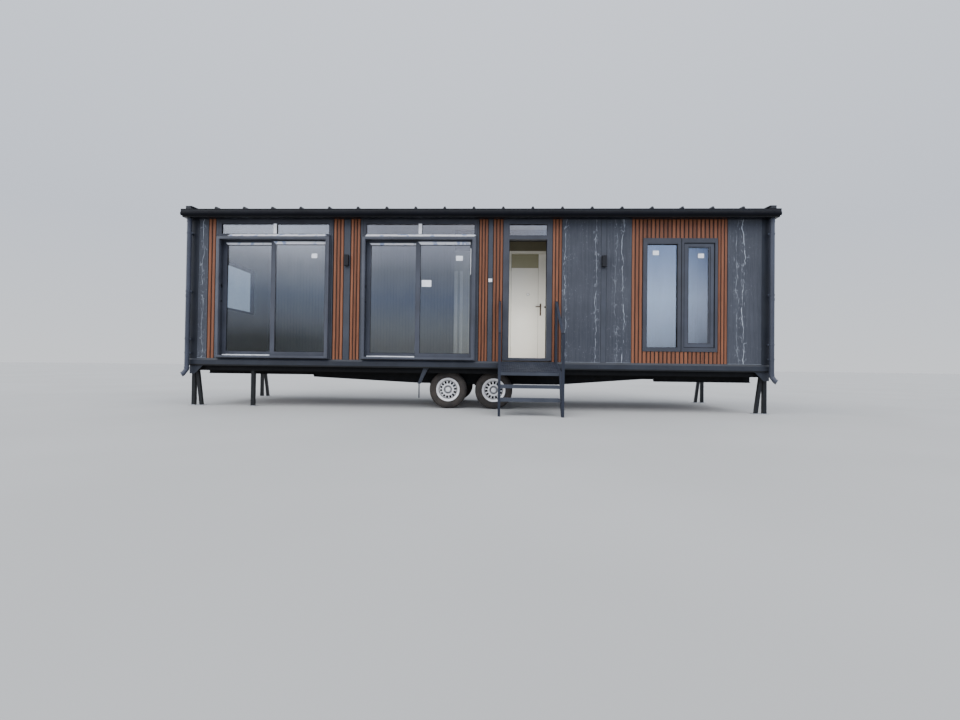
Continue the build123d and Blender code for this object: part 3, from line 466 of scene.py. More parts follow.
def lining(name, colour, roughness=0.6, rib_pitch=0.0, shadow_zone=None):
    """Painted lining with a faint roller texture; where given, dark lines of painted shade for upright ribs,
    or a painted shadow over the part left of one x and above one height.
    """
    material(name)
    x, y, z = axes()
    tone = blend(fade(noise(1.1, 3, 0.5), 0.3, 0.7), shade(colour, 0.93), shade(colour, 1.04))
    # Upright ribs are drawn as thin dark lines of painted shade.
    if rib_pitch:
        place = calc("FRACT", (x + y) / rib_pitch)
        tone = blend(fade(calc("PINGPONG", place, 0.5), 0.04, 0.12, 0.22, 0), tone, shade(colour, 0.3))
    # Painted shadow: its colour over the part left of one x and above one height.
    if shadow_zone:
        x_end, z_start, shadow_colour = shadow_zone
        tone = blend(calc("LESS_THAN", x, x_end) * calc("GREATER_THAN", z, z_start), tone, shadow_colour)
    paint(tone, roughness)
    bump(noise(160, 3, 0.6), 0.12, 0.0006)


def floor_boards():
    """Laminate boards along the house, with staggered ends and dark joints."""
    material("floor_boards")
    x, y, z = axes()
    width, length = 0.19, 1.3
    row = calc("FLOOR", y / width)
    slide = row.scaled(0.47, x / length)
    tone = chance(row.scaled(71.0, calc("FLOOR", slide)))
    grain = noise(1.0, 7, 0.6, stretch((2.2, 60, 60)), 0.5)
    wood = ramp(grain, (0.3, (0.2, 0.13, 0.08)), (0.7, (0.42, 0.31, 0.21)))
    wood = blend(tone * 0.4, wood, (0.5, 0.4, 0.3))
    gap = fade(calc("PINGPONG", calc("FRACT", y / width), 0.5), 0.004, 0.012, 1, 0)
    butt = fade(calc("PINGPONG", calc("FRACT", slide), 0.5), 0.0006, 0.0018, 1, 0)
    joints = calc("MAXIMUM", gap, butt)
    paint(blend(joints, wood, (0.03, 0.02, 0.015)), 0.42)
    bump(grain - joints, 0.25, 0.001)


def rubber():
    """Tyre rubber, with a brown film of dried dust."""
    material("tyre_rubber")
    dust = noise(7, 7, 0.65)
    dusty = blend(fade(dust, 0.35, 0.7, 0.15, 0.7), (0.017, 0.016, 0.0155), (0.075, 0.062, 0.052))
    paint(dusty, fade(dust, 0.3, 0.7, 0.62, 0.85), 0.25)
    bump(noise(260, 3, 0.6), 0.3, 0.0006)


def rim_paint():
    """Silver wheel paint: clean on the lip, darker in the dish, brake dust round the slots with painted shade
    in the crevice inside the lip, and near-black painted shade deep inside.
    """
    material("rim_silver")
    x, y, z = axes()
    hubs = [centre(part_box(f"tyre_front_{end}")) for end in ends]
    across = calc("MINIMUM", *(calc("ABSOLUTE", x - hub.x) for hub in hubs))
    rise = z - hubs[0].z
    radius = calc("SQRT", across * across + rise * rise)
    depth = calc("MINIMUM", y - low("tyre_front_left").y, calc("SUBTRACT", high("tyre_rear_left").y, y))
    grime = fade(noise(30, 6, 0.7), 0.3, 0.65, 0.6, 1)
    dish = fade(radius, 0.041, 0.045) * fade(radius, 0.07, 0.082, 0.92, 0)
    # Brake dust round the slots, and painted shade in the crevice just inside the lip.
    slots = fade(radius, 0.098, 0.104) * fade(radius, 0.146, 0.153, 0.3, 0.9)
    slots = slots * fade(radius, 0.163, 0.173, 1, 0)
    # Darker in the dish, dust round the slots, and painted shade in the crevice.
    dusty = calc("MAXIMUM", dish, slots) * grime
    # Painted shade: near-black deep inside the barrel and behind the slotted ring.
    behind = fade(depth, 0.034, 0.038) * fade(radius, 0.09, 0.1, 0, 0.98)
    dust_and_painted_shade = calc("MAXIMUM", dusty, calc("MAXIMUM", behind, fade(depth, 0.043, 0.05, 0, 0.98)))
    paint(blend(dust_and_painted_shade, (0.84, 0.83, 0.83), (0.045, 0.04, 0.036)), fade(grime, 0.35, 1, 0.32, 0.5), metal=0.2)
    bump(noise(420, 2, 0.5), 0.12, 0.0004)


def bright_metal(name, colour, roughness):
    """Bare or silver-painted metal with fine brushing and a few dull patches."""
    material(name)
    patch = noise(14, 6, 0.65)
    brushed = blend(fade(patch, 0.45, 0.75, 0, 0.6), colour, shade(colour, 0.55))
    paint(brushed, fade(patch, 0.3, 0.75, roughness - 0.05, roughness + 0.2), metal=0.9)
    bump(noise(1.0, 3, 0.6, stretch((700, 60, 700))), 0.15, 0.0003)


def zinc():
    """Galvanised steel with its spangle."""
    material("zinc_pad")
    tone = axes(node("TexVoronoi", {"Vector": here, "Scale": 120}, "Color"))[0]
    paint(blend(tone, (0.33, 0.34, 0.35), (0.52, 0.53, 0.54)), fade(tone, 0, 1, 0.42, 0.6), metal=0.55)
    bump(noise(90, 4, 0.6), 0.15, 0.0006)


def plastic(name, colour, roughness, gloss=0.4):
    """Moulded plastic with a fine grained skin."""
    material(name)
    broad = noise(8, 4, 0.55)
    tone = blend(fade(broad, 0.3, 0.7), shade(colour, 0.88), shade(colour, 1.1))
    paint(tone, fade(broad, 0.3, 0.7, roughness - 0.05, roughness + 0.08), gloss)
    bump(noise(600, 2, 0.5), 0.2, 0.0003)


def white_film():
    """Peelable white film with creases and faded bluish stretches."""
    material("white_film")
    crease = noise(26, 5, 0.6, distortion=1.2)
    faded = fade(noise(9, 3, 0.5), 0.37, 0.46)
    paint(blend(faded, (0.4, 0.48, 0.68), (0.92, 0.92, 0.94)), fade(crease, 0.3, 0.7, 0.25, 0.45))
    bump(crease, 0.5, 0.0015)


groove_x = high("inner_door").x - 0.175
# Height above which the inner door carries a painted shadow, left of its groove.
painted_shadow_z = high("inner_door").z - 0.273
rail_colour = (0.019, 0.0225, 0.031)

# Materials
coated_metal("chassis_paint", (0.0025, 0.0025, 0.0027), 0.5, 0.03, wear=0.3, gloss=0.15)
coated_metal("leg_paint", (0.008, 0.009, 0.01), 0.45, 0.06, wear=0.5, gloss=0.25)
coated_metal("rail_coat", rail_colour, 0.42, 0.06)
# The bottom rails' lower lip is near-black as painted shade, for the shadow under the rail.
coated_metal("rail_coat_painted_shade_lip", rail_colour, 0.42, 0.06, painted_shade_below=rail_top - 0.108)
coated_metal("post_coat", (0.012, 0.0145, 0.021), 0.4, 0.03)
coated_metal("trim_coat", (0.042, 0.047, 0.06), 0.45, 0.05)
coated_metal("frame_coat", (0.04, 0.043, 0.055), 0.42, 0.05)
coated_metal("sash_coat", (0.05, 0.055, 0.071), 0.4, 0.05)
coated_metal("surround_coat", (0.058, 0.063, 0.079), 0.38, 0.05)
coated_metal("steps_coat", (0.022, 0.026, 0.038), 0.6, 0.0, gloss=0.2)
# The checker lozenges are lighter than their plate, as painted highlight on the raised pattern.
coated_metal("checker_painted_highlight", (0.085, 0.093, 0.12), 0.55, 0.0, gloss=0.25)
# The treads carry more dust on upper faces, which also paints their tops lighter as painted light.
coated_metal("treads_dust_and_painted_light", (0.042, 0.048, 0.063), 0.4, 0.1)
coated_metal("roof_coat", (0.01, 0.011, 0.0145), 0.4, 0.06)
# The fascia is painted near-black as painted shade, for the shadow under the gutter.
coated_metal("soffit_painted_shade", (0.0009, 0.001, 0.0014), 0.6, 0.0, gloss=0.02)
coated_metal("gutter_coat", (0.0034, 0.0038, 0.0062), 0.36, 0.02, gloss=0.25)
coated_metal("gutter_face_coat", (0.0036, 0.004, 0.0066), 0.5, 0.0, gloss=0.08)
coated_metal("pipe_coat", (0.042, 0.048, 0.067), 0.4, 0.04)
zinc()
slat_wood("slat_wood", (0.115, 0.038, 0.017), (0.28, 0.108, 0.052), 0.18)
slat_wood("slat_backing", (0.012, 0.005, 0.003), (0.028, 0.013, 0.008), 0.0)
marble_board("marble_front", veins=[
    (1.58, 0.03, 0.0036, 0.8), (2.1, 0.06, 0.0036, 0.8), (2.565, 0.05, 0.0052, 0.95),
    (2.44, 0.06, 0.0026, 0.5), (4.56, 0.035, 0.0052, 0.95), (4.46, 0.08, 0.003, 0.65),
    (-4.78, 0.03, 0.0038, 0.85),
])
marble_board("marble_plain", vein_pitch=1.22)
clear_glass()
# The wall lining's ribs are dark lines of painted shade.
lining("wall_lining", (0.55, 0.54, 0.5), rib_pitch=0.072)
lining("ceiling_paint", (0.7, 0.7, 0.69))
lining("partition_paint", (0.5, 0.49, 0.44))
# The partition header is dark olive as painted shade, for the shadow above the inner door.
lining("header_painted_shade", (0.13, 0.12, 0.078))
# The inner door carries an olive painted shadow over its upper left part, under the header.
lining("door_paint", (0.82, 0.81, 0.76), 0.4, shadow_zone=(groove_x, painted_shadow_z, (0.31, 0.3, 0.2)))
lining("jamb_paint", (0.78, 0.77, 0.7), 0.4)
floor_boards()
rubber()
rim_paint()
bright_metal("handle_steel", (0.09, 0.06, 0.042), 0.3)
bright_metal("bolt_zinc", (0.3, 0.31, 0.33), 0.4)
plastic("lamp_black", (0.008, 0.0085, 0.011), 0.5, 0.25)
plastic("gasket_rubber", (0.006, 0.006, 0.0065), 0.6, 0.2)
plastic("joint_sealant", (0.2, 0.22, 0.25), 0.5)
plastic("lamp_lens", (0.5, 0.52, 0.5), 0.25)
plastic("white_plastic", (0.9, 0.92, 0.95), 0.4)
white_film()

# Finishes of each slot. A CAD node has its slot's first one, unless it is named below.
FINISHES = {
    "chassis_black": ("chassis_paint", "leg_paint"),
    "anthracite_steel": ("steps_coat", "checker_painted_highlight", "treads_dust_and_painted_light", "rail_coat", "rail_coat_painted_shade_lip",
                         "post_coat", "trim_coat", "pipe_coat"),
    "galvanised_pad": ("zinc_pad",),
    "marble_board": ("marble_plain", "marble_front"),
    "slat_board": ("slat_wood", "slat_backing"),
    "window_aluminium": ("frame_coat", "sash_coat", "surround_coat"),
    "glass": ("pane_glass",),
    "wall_core": ("wall_lining", "ceiling_paint", "partition_paint"),
    "floor_board": ("floor_boards",),
    "roof_sheet": ("roof_coat", "soffit_painted_shade", "gutter_coat", "gutter_face_coat"),
    "lamp_black": ("lamp_black", "gasket_rubber"),
    "white_paint": ("jamb_paint", "door_paint", "header_painted_shade", "joint_sealant", "lamp_lens", "white_plastic",
                    "white_film"),
    "handle_steel": ("handle_steel", "bolt_zinc"),
    "tyre": ("tyre_rubber",),
    "rim_silver": ("rim_silver",),
}
NODE_FINISHES = {
    "leg_paint": ["levelling_legs"],
    "rail_coat": ["corner_gussets", "diagonal_stay"],
    "rail_coat_painted_shade_lip": ["bottom_rails"],
    "post_coat": ["corner_posts"],
    "trim_coat": ["joint_trims"],
    "treads_dust_and_painted_light": ["stair_treads"],
    "pipe_coat": ["downpipes", "pipe_brackets"],
    "sash_coat": ["window_1_sashes", "window_2_sashes", "window_3_sash"],
    "soffit_painted_shade": ["fascia"],
    "gutter_coat": ["gutter"],
    "partition_paint": ["partition"],
    "header_painted_shade": ["partition_header"],
    "door_paint": ["inner_door"],
    "white_plastic": ["socket_plate"],
}
named = {name: finish for finish, names in NODE_FINISHES.items() for name in names}
for part in frame["record"]["subparts"]:
    name = part["node"]
    mesh = frame["nodes"][name].data
    finish = named.get(name, FINISHES[part["material_slot"]][0])
    if not mesh.materials:
        mesh.materials.append(None)
    for index in range(len(mesh.materials)):
        mesh.materials[index] = finishes[finish]

# Grooved boards on all four sides
groove_pitch = 0.022
groove_width = 0.0035
groove_depth = 0.0022


def grooved_board(shape, span, face, outward, z_low, top, axis="x"):
    """One board with fine upright grooves in its face, cut off at the top by a height that may slope."""
    count = max(2, round((span[1] - span[0]) / groove_pitch))
    back = face - outward * skin
    outline = [(span[0], back), (span[0], face)]
    for number in range(1, count):
        middle = span[0] + number * (span[1] - span[0]) / count
        outline += [(middle - groove_width / 2, face), (middle, face - outward * groove_depth),
                    (middle + groove_width / 2, face)]
    outline += [(span[1], face), (span[1], back)]

    def place(u, v, w):
        x, y = (u, v) if axis == "x" else (v, u)
        return (x, y, z_low if w == 0 else top(y))

    shape.prism(outline, place, 0, 1)


def make_boards():
    """Marble-look boards in place of the plain CAD boards, and a line of sealant under the front ones."""
    main, others, gables, lines = shapes(4)
    for lower, upper in solids("cladding_boards"):
        span = (lower.x, upper.x)
        if upper.y < front + 2 * skin:
            grooved_board(main, span, front, -1, rail_top, lambda y: cladding_top)
            lines.block(span, (front - 0.0025, front - 0.0002), (rail_top + 0.0002, rail_top + 0.005))
        elif lower.y > wall_rear - skin:
            grooved_board(others, span, rear, 1, rail_top, lambda y: roof_under(wall_rear) - 0.01)
    grooved_board(gables, (wall_inner, rear_inner), end_outer, 1, rail_top, roof_under, "y")
    window_low, window_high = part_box("end_window_frame")
    for span, z_low, top in (((wall_inner, window_low.y), rail_top, roof_under),
                             ((window_high.y, rear_inner), rail_top, roof_under),
                             ((window_low.y, window_high.y), rail_top, lambda y: window_low.z),
                             ((window_low.y, window_high.y), window_high.z, roof_under)):
        grooved_board(gables, span, -end_outer, -1, z_low, top, "y")
    main.make("front_boards", "marble_front", replaces=("cladding_boards",), angle=20)
    others.make("rear_boards", "marble_plain", angle=20)
    gables.make("end_boards", "marble_plain", angle=20)
    lines.make("board_edging", "joint_sealant")


def make_slats():
    """Slats with softened edges on dark backing boards, in the places of the CAD panels."""
    slats, backing = shapes(2)
    backing_thickness, share, chamfer = 0.008, 0.69, 0.006
    root = wall_front - backing_thickness
    for lower, upper in solids("slat_panels"):
        width = upper.x - lower.x
        pitch = 0.062 if upper.z - lower.z > 2 else 0.069
        count = round(width / pitch)
        half = width / count * share / 2
        backing.block((lower.x, upper.x), (root, wall_front), (lower.z, upper.z))
        for middle in spread(count, lower.x, upper.x):
            start, end = middle - half, middle + half
            slats.prism([(start, root), (start, front + chamfer), (start + chamfer, front),
                         (end - chamfer, front), (end, front + chamfer), (end, root)],
                        upright, lower.z, upper.z)
    slats.make("wood_slats", "slat_wood", replaces=("slat_panels",))
    backing.make("slat_backing", "slat_backing")


# Windows and entrance
frame_face = front - 0.006
surround_face = front - 0.012
surround_depth = 0.06
transom_drop = 0.311
joint_z = head_height - transom_drop
sliding = {number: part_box(f"window_{number}_frame") for number in (1, 2)}


def make_gaskets():
    """Black rubber round every pane, on both its faces, with a wider top as painted shade; a black ring round
    the casement and black strips on the joint trims' edges as painted shade lines; and a black joint beside
    the casement.
    """
    # Each pane's seal is wider at the top, as painted shade under its head.
    proud, widths = 0.0035, (0.005, 0.005, 0.005, 0.011)
    seals, bead = shapes(2)
    for lower, upper in panes:
        place, u, w = (crosswise, 0, 1) if upper.y - lower.y < 0.1 else (lengthwise, 1, 0)
        for start, end in ((lower[w] - proud, lower[w]), (upper[w], upper[w] + proud)):
            seals.ring((lower[u], lower.z, upper[u], upper.z), widths, place, start, end)
    lower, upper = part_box("window_3_sash")
    # The ring round the casement is a painted shade line.
    seals.ring((lower.x, lower.z, upper.x, upper.z), (0.01,) * 4, crosswise,
               lower.y - 0.006, lower.y - 0.0002)
    frame_low, frame_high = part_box("window_3_frame")
    joint = lower.x - 0.0453
    seals.block((joint - 0.006, joint + 0.006), (frame_low.y - 0.0012, frame_low.y - 0.0002),
                (frame_low.z, frame_high.z))
    # Strips on the edges of the tall front trims are painted shade lines.
    for start, end in solids("joint_trims"):
        if end.z - start.z > 2 and start.y < front + skin and abs(start.x) < room_half:
            for edge in (start.x, end.x - 0.004):
                seals.block((edge, edge + 0.004), (start.y - 0.0008, start.y - 0.0001), (start.z, end.z))
    seals.make("pane_gaskets_and_shade_lines", "gasket_rubber")
    pane = next(box for box in panes if lower.x < box[0].x and box[1].x < upper.x and box[0].y < wall_inner)
    bead.ring((pane[0].x, pane[0].z, pane[1].x, pane[1].z), (0.02, 0.016, 0.03, 0.016), crosswise,
              pane[0].y - 0.012, pane[0].y - 0.0037)
    bead.make("casement_bead", "frame_coat", bevel=0.0015)


def make_entrance():
    """The entrance's black seal, which also stands as painted shade for the shadow lines inside the frame,
    and a strip on its sill.
    """
    seals, threshold = shapes(2)
    jambs = [box for box in solids("door_frame") if box[1].z - box[0].z > 2]
    left, right, sill = jambs[0][1].x, jambs[1][0].x, jambs[0][0].z
    opening_height, seal = 2.085, 0.008
    top = low("door_frame").z + opening_height
    depth = (high("door_frame").y - 0.03, high("door_frame").y - 0.018)
    for x in (left, right - seal):
        seals.block((x, x + seal), depth, (sill + 0.021, top - seal))
    seals.block((left, right), depth, (top - seal, top - 0.0005))
    seals.make("entrance_seal_and_shade_lines", "gasket_rubber", bevel=0.001)
    threshold.block((left + 0.0003, right - 0.0003), (front - 0.014, wall_inner - 0.02),
                    (sill, sill + 0.0195))
    threshold.make("threshold_strip", "sash_coat", bevel=0.002)


def make_surrounds():
    """Outer frames proud of the two sliding windows, each with a sloping ledge and white film on top."""
    surrounds, films = shapes(2)
    outer_face = surround_face - surround_depth
    back = surround_face - 0.0003
    film_insets = {1: (0.2, 0.11), 2: (0.049, 0.055)}
    for number, (lower, upper) in sliding.items():
        outer = (lower.x - 0.002, lower.z + 0.012, upper.x - 0.024, joint_z - 0.01)
        surrounds.ring(outer, (0.054, 0.036, 0.06, 0.042), crosswise, outer_face, back)
        ledge = [(frame_face - 0.0003, joint_z + 0.049), (frame_face - 0.0003, joint_z + 0.0003),
                 (back, joint_z + 0.0003), (back, outer[3] + 0.0003), (outer_face, outer[3] + 0.0003),
                 (outer_face, outer[3] + 0.004)]
        surrounds.prism(ledge, lengthwise, outer[0], outer[2])
        top, foot = Vector((0, *ledge[0])), Vector((0, *ledge[5]))
        normal = Vector((0, foot.z - top.z, top.y - foot.y)).normalized()

        def on_slope(u, v, w):
            return top.lerp(foot, v) + normal * w + Vector((u, 0, 0))

        left, right = lower.x + film_insets[number][0], upper.x - film_insets[number][1]
        films.prism([(left, 0.95), (right, 0.95), (right + 0.03, 0.45), (right, 0.04), (left + 0.012, 0.04)],
                    on_slope, 0.0002, 0.001)
    surrounds.make("window_surrounds", "surround_coat", bevel=0.002, segments=2)
    films.make("ledge_films", "white_film")


def band(shape, points, face, thickness=0.0008):
    """A thin layer on a face that looks to the entrance side, with its outline as (x, z)."""
    shape.prism(points, crosswise, face - thickness, face)


def make_films():
    """White protective film that is still on some of the bars, and pale strips on the tracks."""
    films, strips = shapes(2)
    for number, box in sliding.items():
        middle = centre(box).x
        left, right = middle - 0.029, middle + 0.029
        band(films, [(left, joint_z + 0.058), (right, joint_z + 0.058), (right, joint_z + 0.234),
                     (left, joint_z + 0.234)], frame_face)
        rails = [box for box in solids(f"window_{number}_sashes")
                 if box[1].x - box[0].x > 0.5 and box[1].z - box[0].z > 0.05 and box[0].z > 2]
        face_height = rails[0][1].z - rails[0][0].z
        for (start, end), height in zip(rails, (0.037, 0.049)):
            left, right = start.x + face_height, end.x - face_height + 0.004
            band(films, [(left, start.z), (right, start.z), (right, start.z + height),
                         (left - height, start.z + height)], start.y)
        strips.block((box[0].x + 0.075, middle - 0.085), (front + 0.03, front + 0.04),
                     (rail_top + 0.0405, rail_top + 0.072))
    stile = high("window_2_sashes").x - 0.08
    band(strips, [(stile + 0.001, 2.33), (stile + 0.013, 2.35), (stile + 0.015, 2.79), (stile + 0.002, 2.8)],
         front + 0.024)
    films.make("bar_films", "white_film")
    strips.make("track_strips", "white_plastic")


def make_stickers():
    """Blank square stickers on the panes."""
    stickers = Shape()
    for x, z, width, height in ((-2.805, 2.656, 0.101, 0.08), (-0.25, 2.623, 0.117, 0.084),
                                (-0.818, 2.182, 0.165, 0.115), (3.11, 2.725, 0.101, 0.076),
                                (3.87, 2.678, 0.1, 0.075)):
        pane = next(box for box in panes
                    if box[0].x < x < box[1].x and box[0].z < z < box[1].z and box[0].y < wall_inner)
        left, right, foot, top = x - width / 2, x + width / 2, z - height / 2, z + height / 2
        band(stickers, [(left, foot), (right, foot), (right, top), (left, top)], pane[0].y, 0.0005)
    stickers.make("pane_stickers", "white_plastic")


def make_catches():
    """Small catches on the left frames, and screw heads on frames and rails."""
    catches, heads = shapes(2)
    for lower, upper in sliding.values():
        for z, height in ((2.09, 0.06), (1.84, 0.024)):
            catches.block((lower.x + 0.035, lower.x + 0.05), (front + 0.03, front + 0.045), (z, z + height))
        for x in (lower.x + 0.023, upper.x - 0.05):
            for z in (0.92, 1.9, 2.88):
                heads.screw((x, surround_face - surround_depth, z), (0, -1, 0), 0.005, 0.0015)
        for x in (lower.x + 0.6, upper.x - 0.6):
            heads.screw((x, frame_face, 3.26), (0, -1, 0), 0.004, 0.0015)
    steps_left, steps_right = 0.44, 1.44
    for x in spread(16, 0.1 - half_length, half_length - 0.1):
        if not steps_left < x < steps_right:
            heads.screw((x, front - 0.02, rail_top - 0.07), (0, -1, 0), 0.006, 0.003)
        heads.screw((x, rear + 0.02, rail_top - 0.07), (0, 1, 0), 0.006, 0.003)
    catches.make("window_catches", "gasket_rubber", bevel=0.002)
    heads.make("frame_screws", "rail_coat")


def make_inner_details():
    """A round viewer with a dark steel ring round it that also stands as painted shade, a dark strip of
    painted shade for a groove in the inner door, and pale upright trims at the partition's left end.
    """
    viewer, collar_and_shade_ring, groove, trims = shapes(4)
    lower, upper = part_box("inner_door")
    viewer_x, viewer_z, trim_top = 1.018, 2.177, 2.62
    place = turned((viewer_x, lower.y, viewer_z), (0, -1, 0))
    # The dark ring round the viewer also stands in for its shadow: painted shade.
    collar_and_shade_ring.lathe([(0.0002, 0.0205), (0.0002, 0.027), (0.003, 0.026), (0.003, 0.0205)], place)
    viewer.lathe([(0.0002, 0), (0.0002, 0.022), (0.004, 0.022), (0.009, 0.017), (0.0115, 0.008), (0.012, 0)],
                 place)
    # The groove is a dark strip of painted shade.
    groove.block((groove_x, groove_x + 0.004), (lower.y - 0.0006, lower.y - 0.0001), (lower.z, upper.z))
    viewer.make("door_viewer", "white_plastic", "inner_door_leaf")
    collar_and_shade_ring.make("viewer_collar_painted_shade", "handle_steel", "inner_door_leaf")
    groove.make("door_groove_painted_shade", "header_painted_shade", "inner_door_leaf")
    start = low("partition")
    for inset, width in ((0, 0.062), (0.112, 0.055), (0.285, 0.012)):
        x = start.x + inset
        trims.block((x, x + width), (start.y - 0.014, start.y - 0.0003), (high("floor_deck").z, trim_top))
    trims.make("partition_trims", "jamb_paint", bevel=0.002)


def make_lamps():
    """Lenses and rings in the wall lamps' two ends, and screws in them and in the small fitting."""
    lenses, rings, screws, plate_screws = shapes(4)
    for lower, upper in solids("wall_lamps"):
        middle = centre((lower, upper))
        middle.y = lower.y + 0.029
        for z, out in ((lower.z, -1), (upper.z, 1)):
            place = turned((middle.x, middle.y, z), (0, 0, out))
            lenses.lathe([(-0.014, 0), (-0.014, 0.0215), (-0.011, 0.0215), (-0.009, 0.012), (-0.0085, 0)],
                         place)
            rings.lathe([(-0.009, 0.0185), (-0.009, 0.0218), (0.0008, 0.0225), (0.0008, 0.02)], place)
        for edge, out in ((lower.x, -1), (upper.x, 1)):
            screws.screw((edge, middle.y, middle.z), (out, 0, 0), 0.003, 0.001)
    lower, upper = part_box("socket_plate")
    for z in (lower.z + 0.011, upper.z - 0.011):
        plate_screws.screw((centre((lower, upper)).x, lower.y, z), (0, -1, 0), 0.003, 0.0008)
    lenses.make("lamp_lenses", "lamp_lens")
    rings.make("lamp_rings", "lamp_black")
    screws.make("lamp_screws", "bolt_zinc")
    plate_screws.make("socket_screws", "bolt_zinc")


# Roof, gutter and pipes
def make_roof_fixings():
    """Screws with washers on the ribs and in the verges."""
    screws = Shape()
    lean = (0, -sin(roof_slope), cos(roof_slope))
    rib_pitch, rib_rise = 0.5, 0.108
    for number in range(-9, 10):
        for y in (front - 0.07, front + 0.6, front + 1.25, front + 1.9, rear + 0.02):
            origin = Vector((number * rib_pitch, y, roof_under(y) + rib_rise))
            screws.lathe([(0, 0), (0, 0.0095), (0.0015, 0.0095), (0.0022, 0)], turned(origin, lean), 14)
            screws.hexagon(origin, lean, 0.0055, 0.007)
    verge = high("verge_flashings").x
    for side in ends.values():
        for number in range(7):
            y = front - 0.05 + number * 0.44
            screws.screw((side * verge, y, roof_under(y) + 0.06), (side, 0, 0), 0.006, 0.0035)
    screws.make("roof_screws", "bolt_zinc")


def make_gutter_details():
    """Straps across the gutter, and its rolled edge with the swelling face under it."""
    straps, bead = shapes(2)
    lower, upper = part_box("gutter")
    for x in spread(14, -half_length - 0.02, half_length + 0.02):
        straps.block((x - 0.012, x + 0.012), (lower.y + 0.004, front - 0.0495),
                     (upper.z - 0.006, upper.z - 0.004))
    radius, reach = 0.007, upper.x - 0.002
    bead.rod(turned((-reach, lower.y + radius / 2, upper.z - radius), (1, 0, 0)), 0, 2 * reach, radius, 14)
    foot, belly_height, belly_reach = lower.z + 0.012, 0.072, 0.016
    shares = [step / 8 for step in range(9)]
    belly = [(lower.y - belly_reach * sin(pi * share) ** 0.8, foot + belly_height * share)
             for share in shares]
    back = lower.y + 0.002
    bead.prism(belly + [(back, foot + belly_height), (back, foot)], lengthwise, -reach, reach)
    straps.make("gutter_straps", "zinc_pad")
    bead.make("gutter_bead", "gutter_face_coat")


def make_ceiling():
    """Pale lining under the roof."""
    sheet = Shape()
    gap, thickness = 0.001, 0.012
    corners = [(y, roof_under(y) - gap) for y in (wall_inner, rear_inner)]
    sheet.prism([(y, z - thickness) for y, z in corners] + corners[::-1], lengthwise, -room_half, room_half)
    sheet.make("ceiling_lining", "ceiling_paint")


def make_pipe_details():
    """Sleeves, ears with bolts and the rimmed ends of the downpipes' shoes, each closed just inside by a
    black disc of painted shade.
    """
    sleeves, bolts, rims, shade_discs = shapes(4)
    radius, sleeve, lip = 0.0375, 0.041, 0.044
    pipe_x, y, knee_z = 4.985, front - 0.088, low("bottom_rails").z - 0.069
    for side in ends.values():
        knee = Vector((side * pipe_x, y, knee_z))
        for z, height in ((knee_z + 0.006, 0.04), (high("downpipes").z - 0.07, 0.05), (1.9, 0.05)):
            sleeves.lathe([(0, radius), (0, sleeve), (height - 0.003, sleeve), (height, radius)],
                          turned((knee.x, y, z), (0, 0, 1)), 40)
        mouth = turned(knee + Vector((side * 0.035, -0.04, -0.08)) * 0.93, (side * 0.7, -0.45, -0.55))
        sleeves.lathe([(-0.004, radius - 0.002), (-0.004, radius + 0.003), (0.034, radius + 0.004),
                       (0.034, radius - 0.001)], mouth, 40)
        rims.lathe([(0.03, radius), (0.03, lip), (0.037, lip), (0.037, radius - 0.002)], mouth, 40)
        # A black disc just inside each end is painted shade for the dark inside of the pipe.
        shade_discs.rod(mouth, 0.004, 0.006, radius - 0.001, 40)
    for lower, upper in solids("pipe_brackets"):
        middle = centre((lower, upper))
        inner = -1 if middle.x > 0 else 1
        ear = middle.x + inner * (radius + 0.004)
        sleeves.block(sorted((ear - inner * 0.002, ear + inner * 0.026)), (y - 0.005, y + 0.005),
                      (lower.z + 0.001, upper.z - 0.001))
        bolts.hexagon((ear + inner * 0.015, y - 0.005, middle.z), (0, -1, 0), 0.006, 0.007)
    sleeves.make("pipe_sleeves", "pipe_coat")
    bolts.make("bracket_bolts", "pipe_coat")
    rims.make("shoe_rims", "zinc_pad")
    shade_discs.make("shoe_shade_discs", "gasket_rubber")


# Steps
def lozenges(shape, origin, along, across, lengths):
    """Rows of lozenges that lean to alternate sides, on a plate given by a corner and two directions."""
    along, across = Vector(along).normalized(), Vector(across).normalized()
    normal = along.cross(across)
    pitch, half, thin, height = 0.036, 0.0155, 0.0046, 0.002
    base = [(-half, 0), (-half / 2, -thin), (half / 2, -thin), (half, 0), (half / 2, thin), (-half / 2, thin)]
    for row, rise in enumerate(spread(int(lengths[1] / pitch), 0, lengths[1])):
        for column, reach in enumerate(spread(int(lengths[0] / pitch), 0, lengths[0])):
            middle = Vector(origin) + along * reach + across * rise
            lean = radians(45 if (row + column) % 2 else -45)
            u = along * cos(lean) + across * sin(lean)
            v = across * cos(lean) - along * sin(lean)
            points = [middle + u * a + v * b for a, b in base]
            points += [middle + u * a + normal * height for a in (-half * 0.55, half * 0.55)]
            shape.add(points, [(0, 1, 6), (1, 2, 7, 6), (2, 3, 7), (3, 4, 7), (4, 5, 6, 7), (5, 0, 6),
                               (5, 4, 3, 2, 1, 0)])


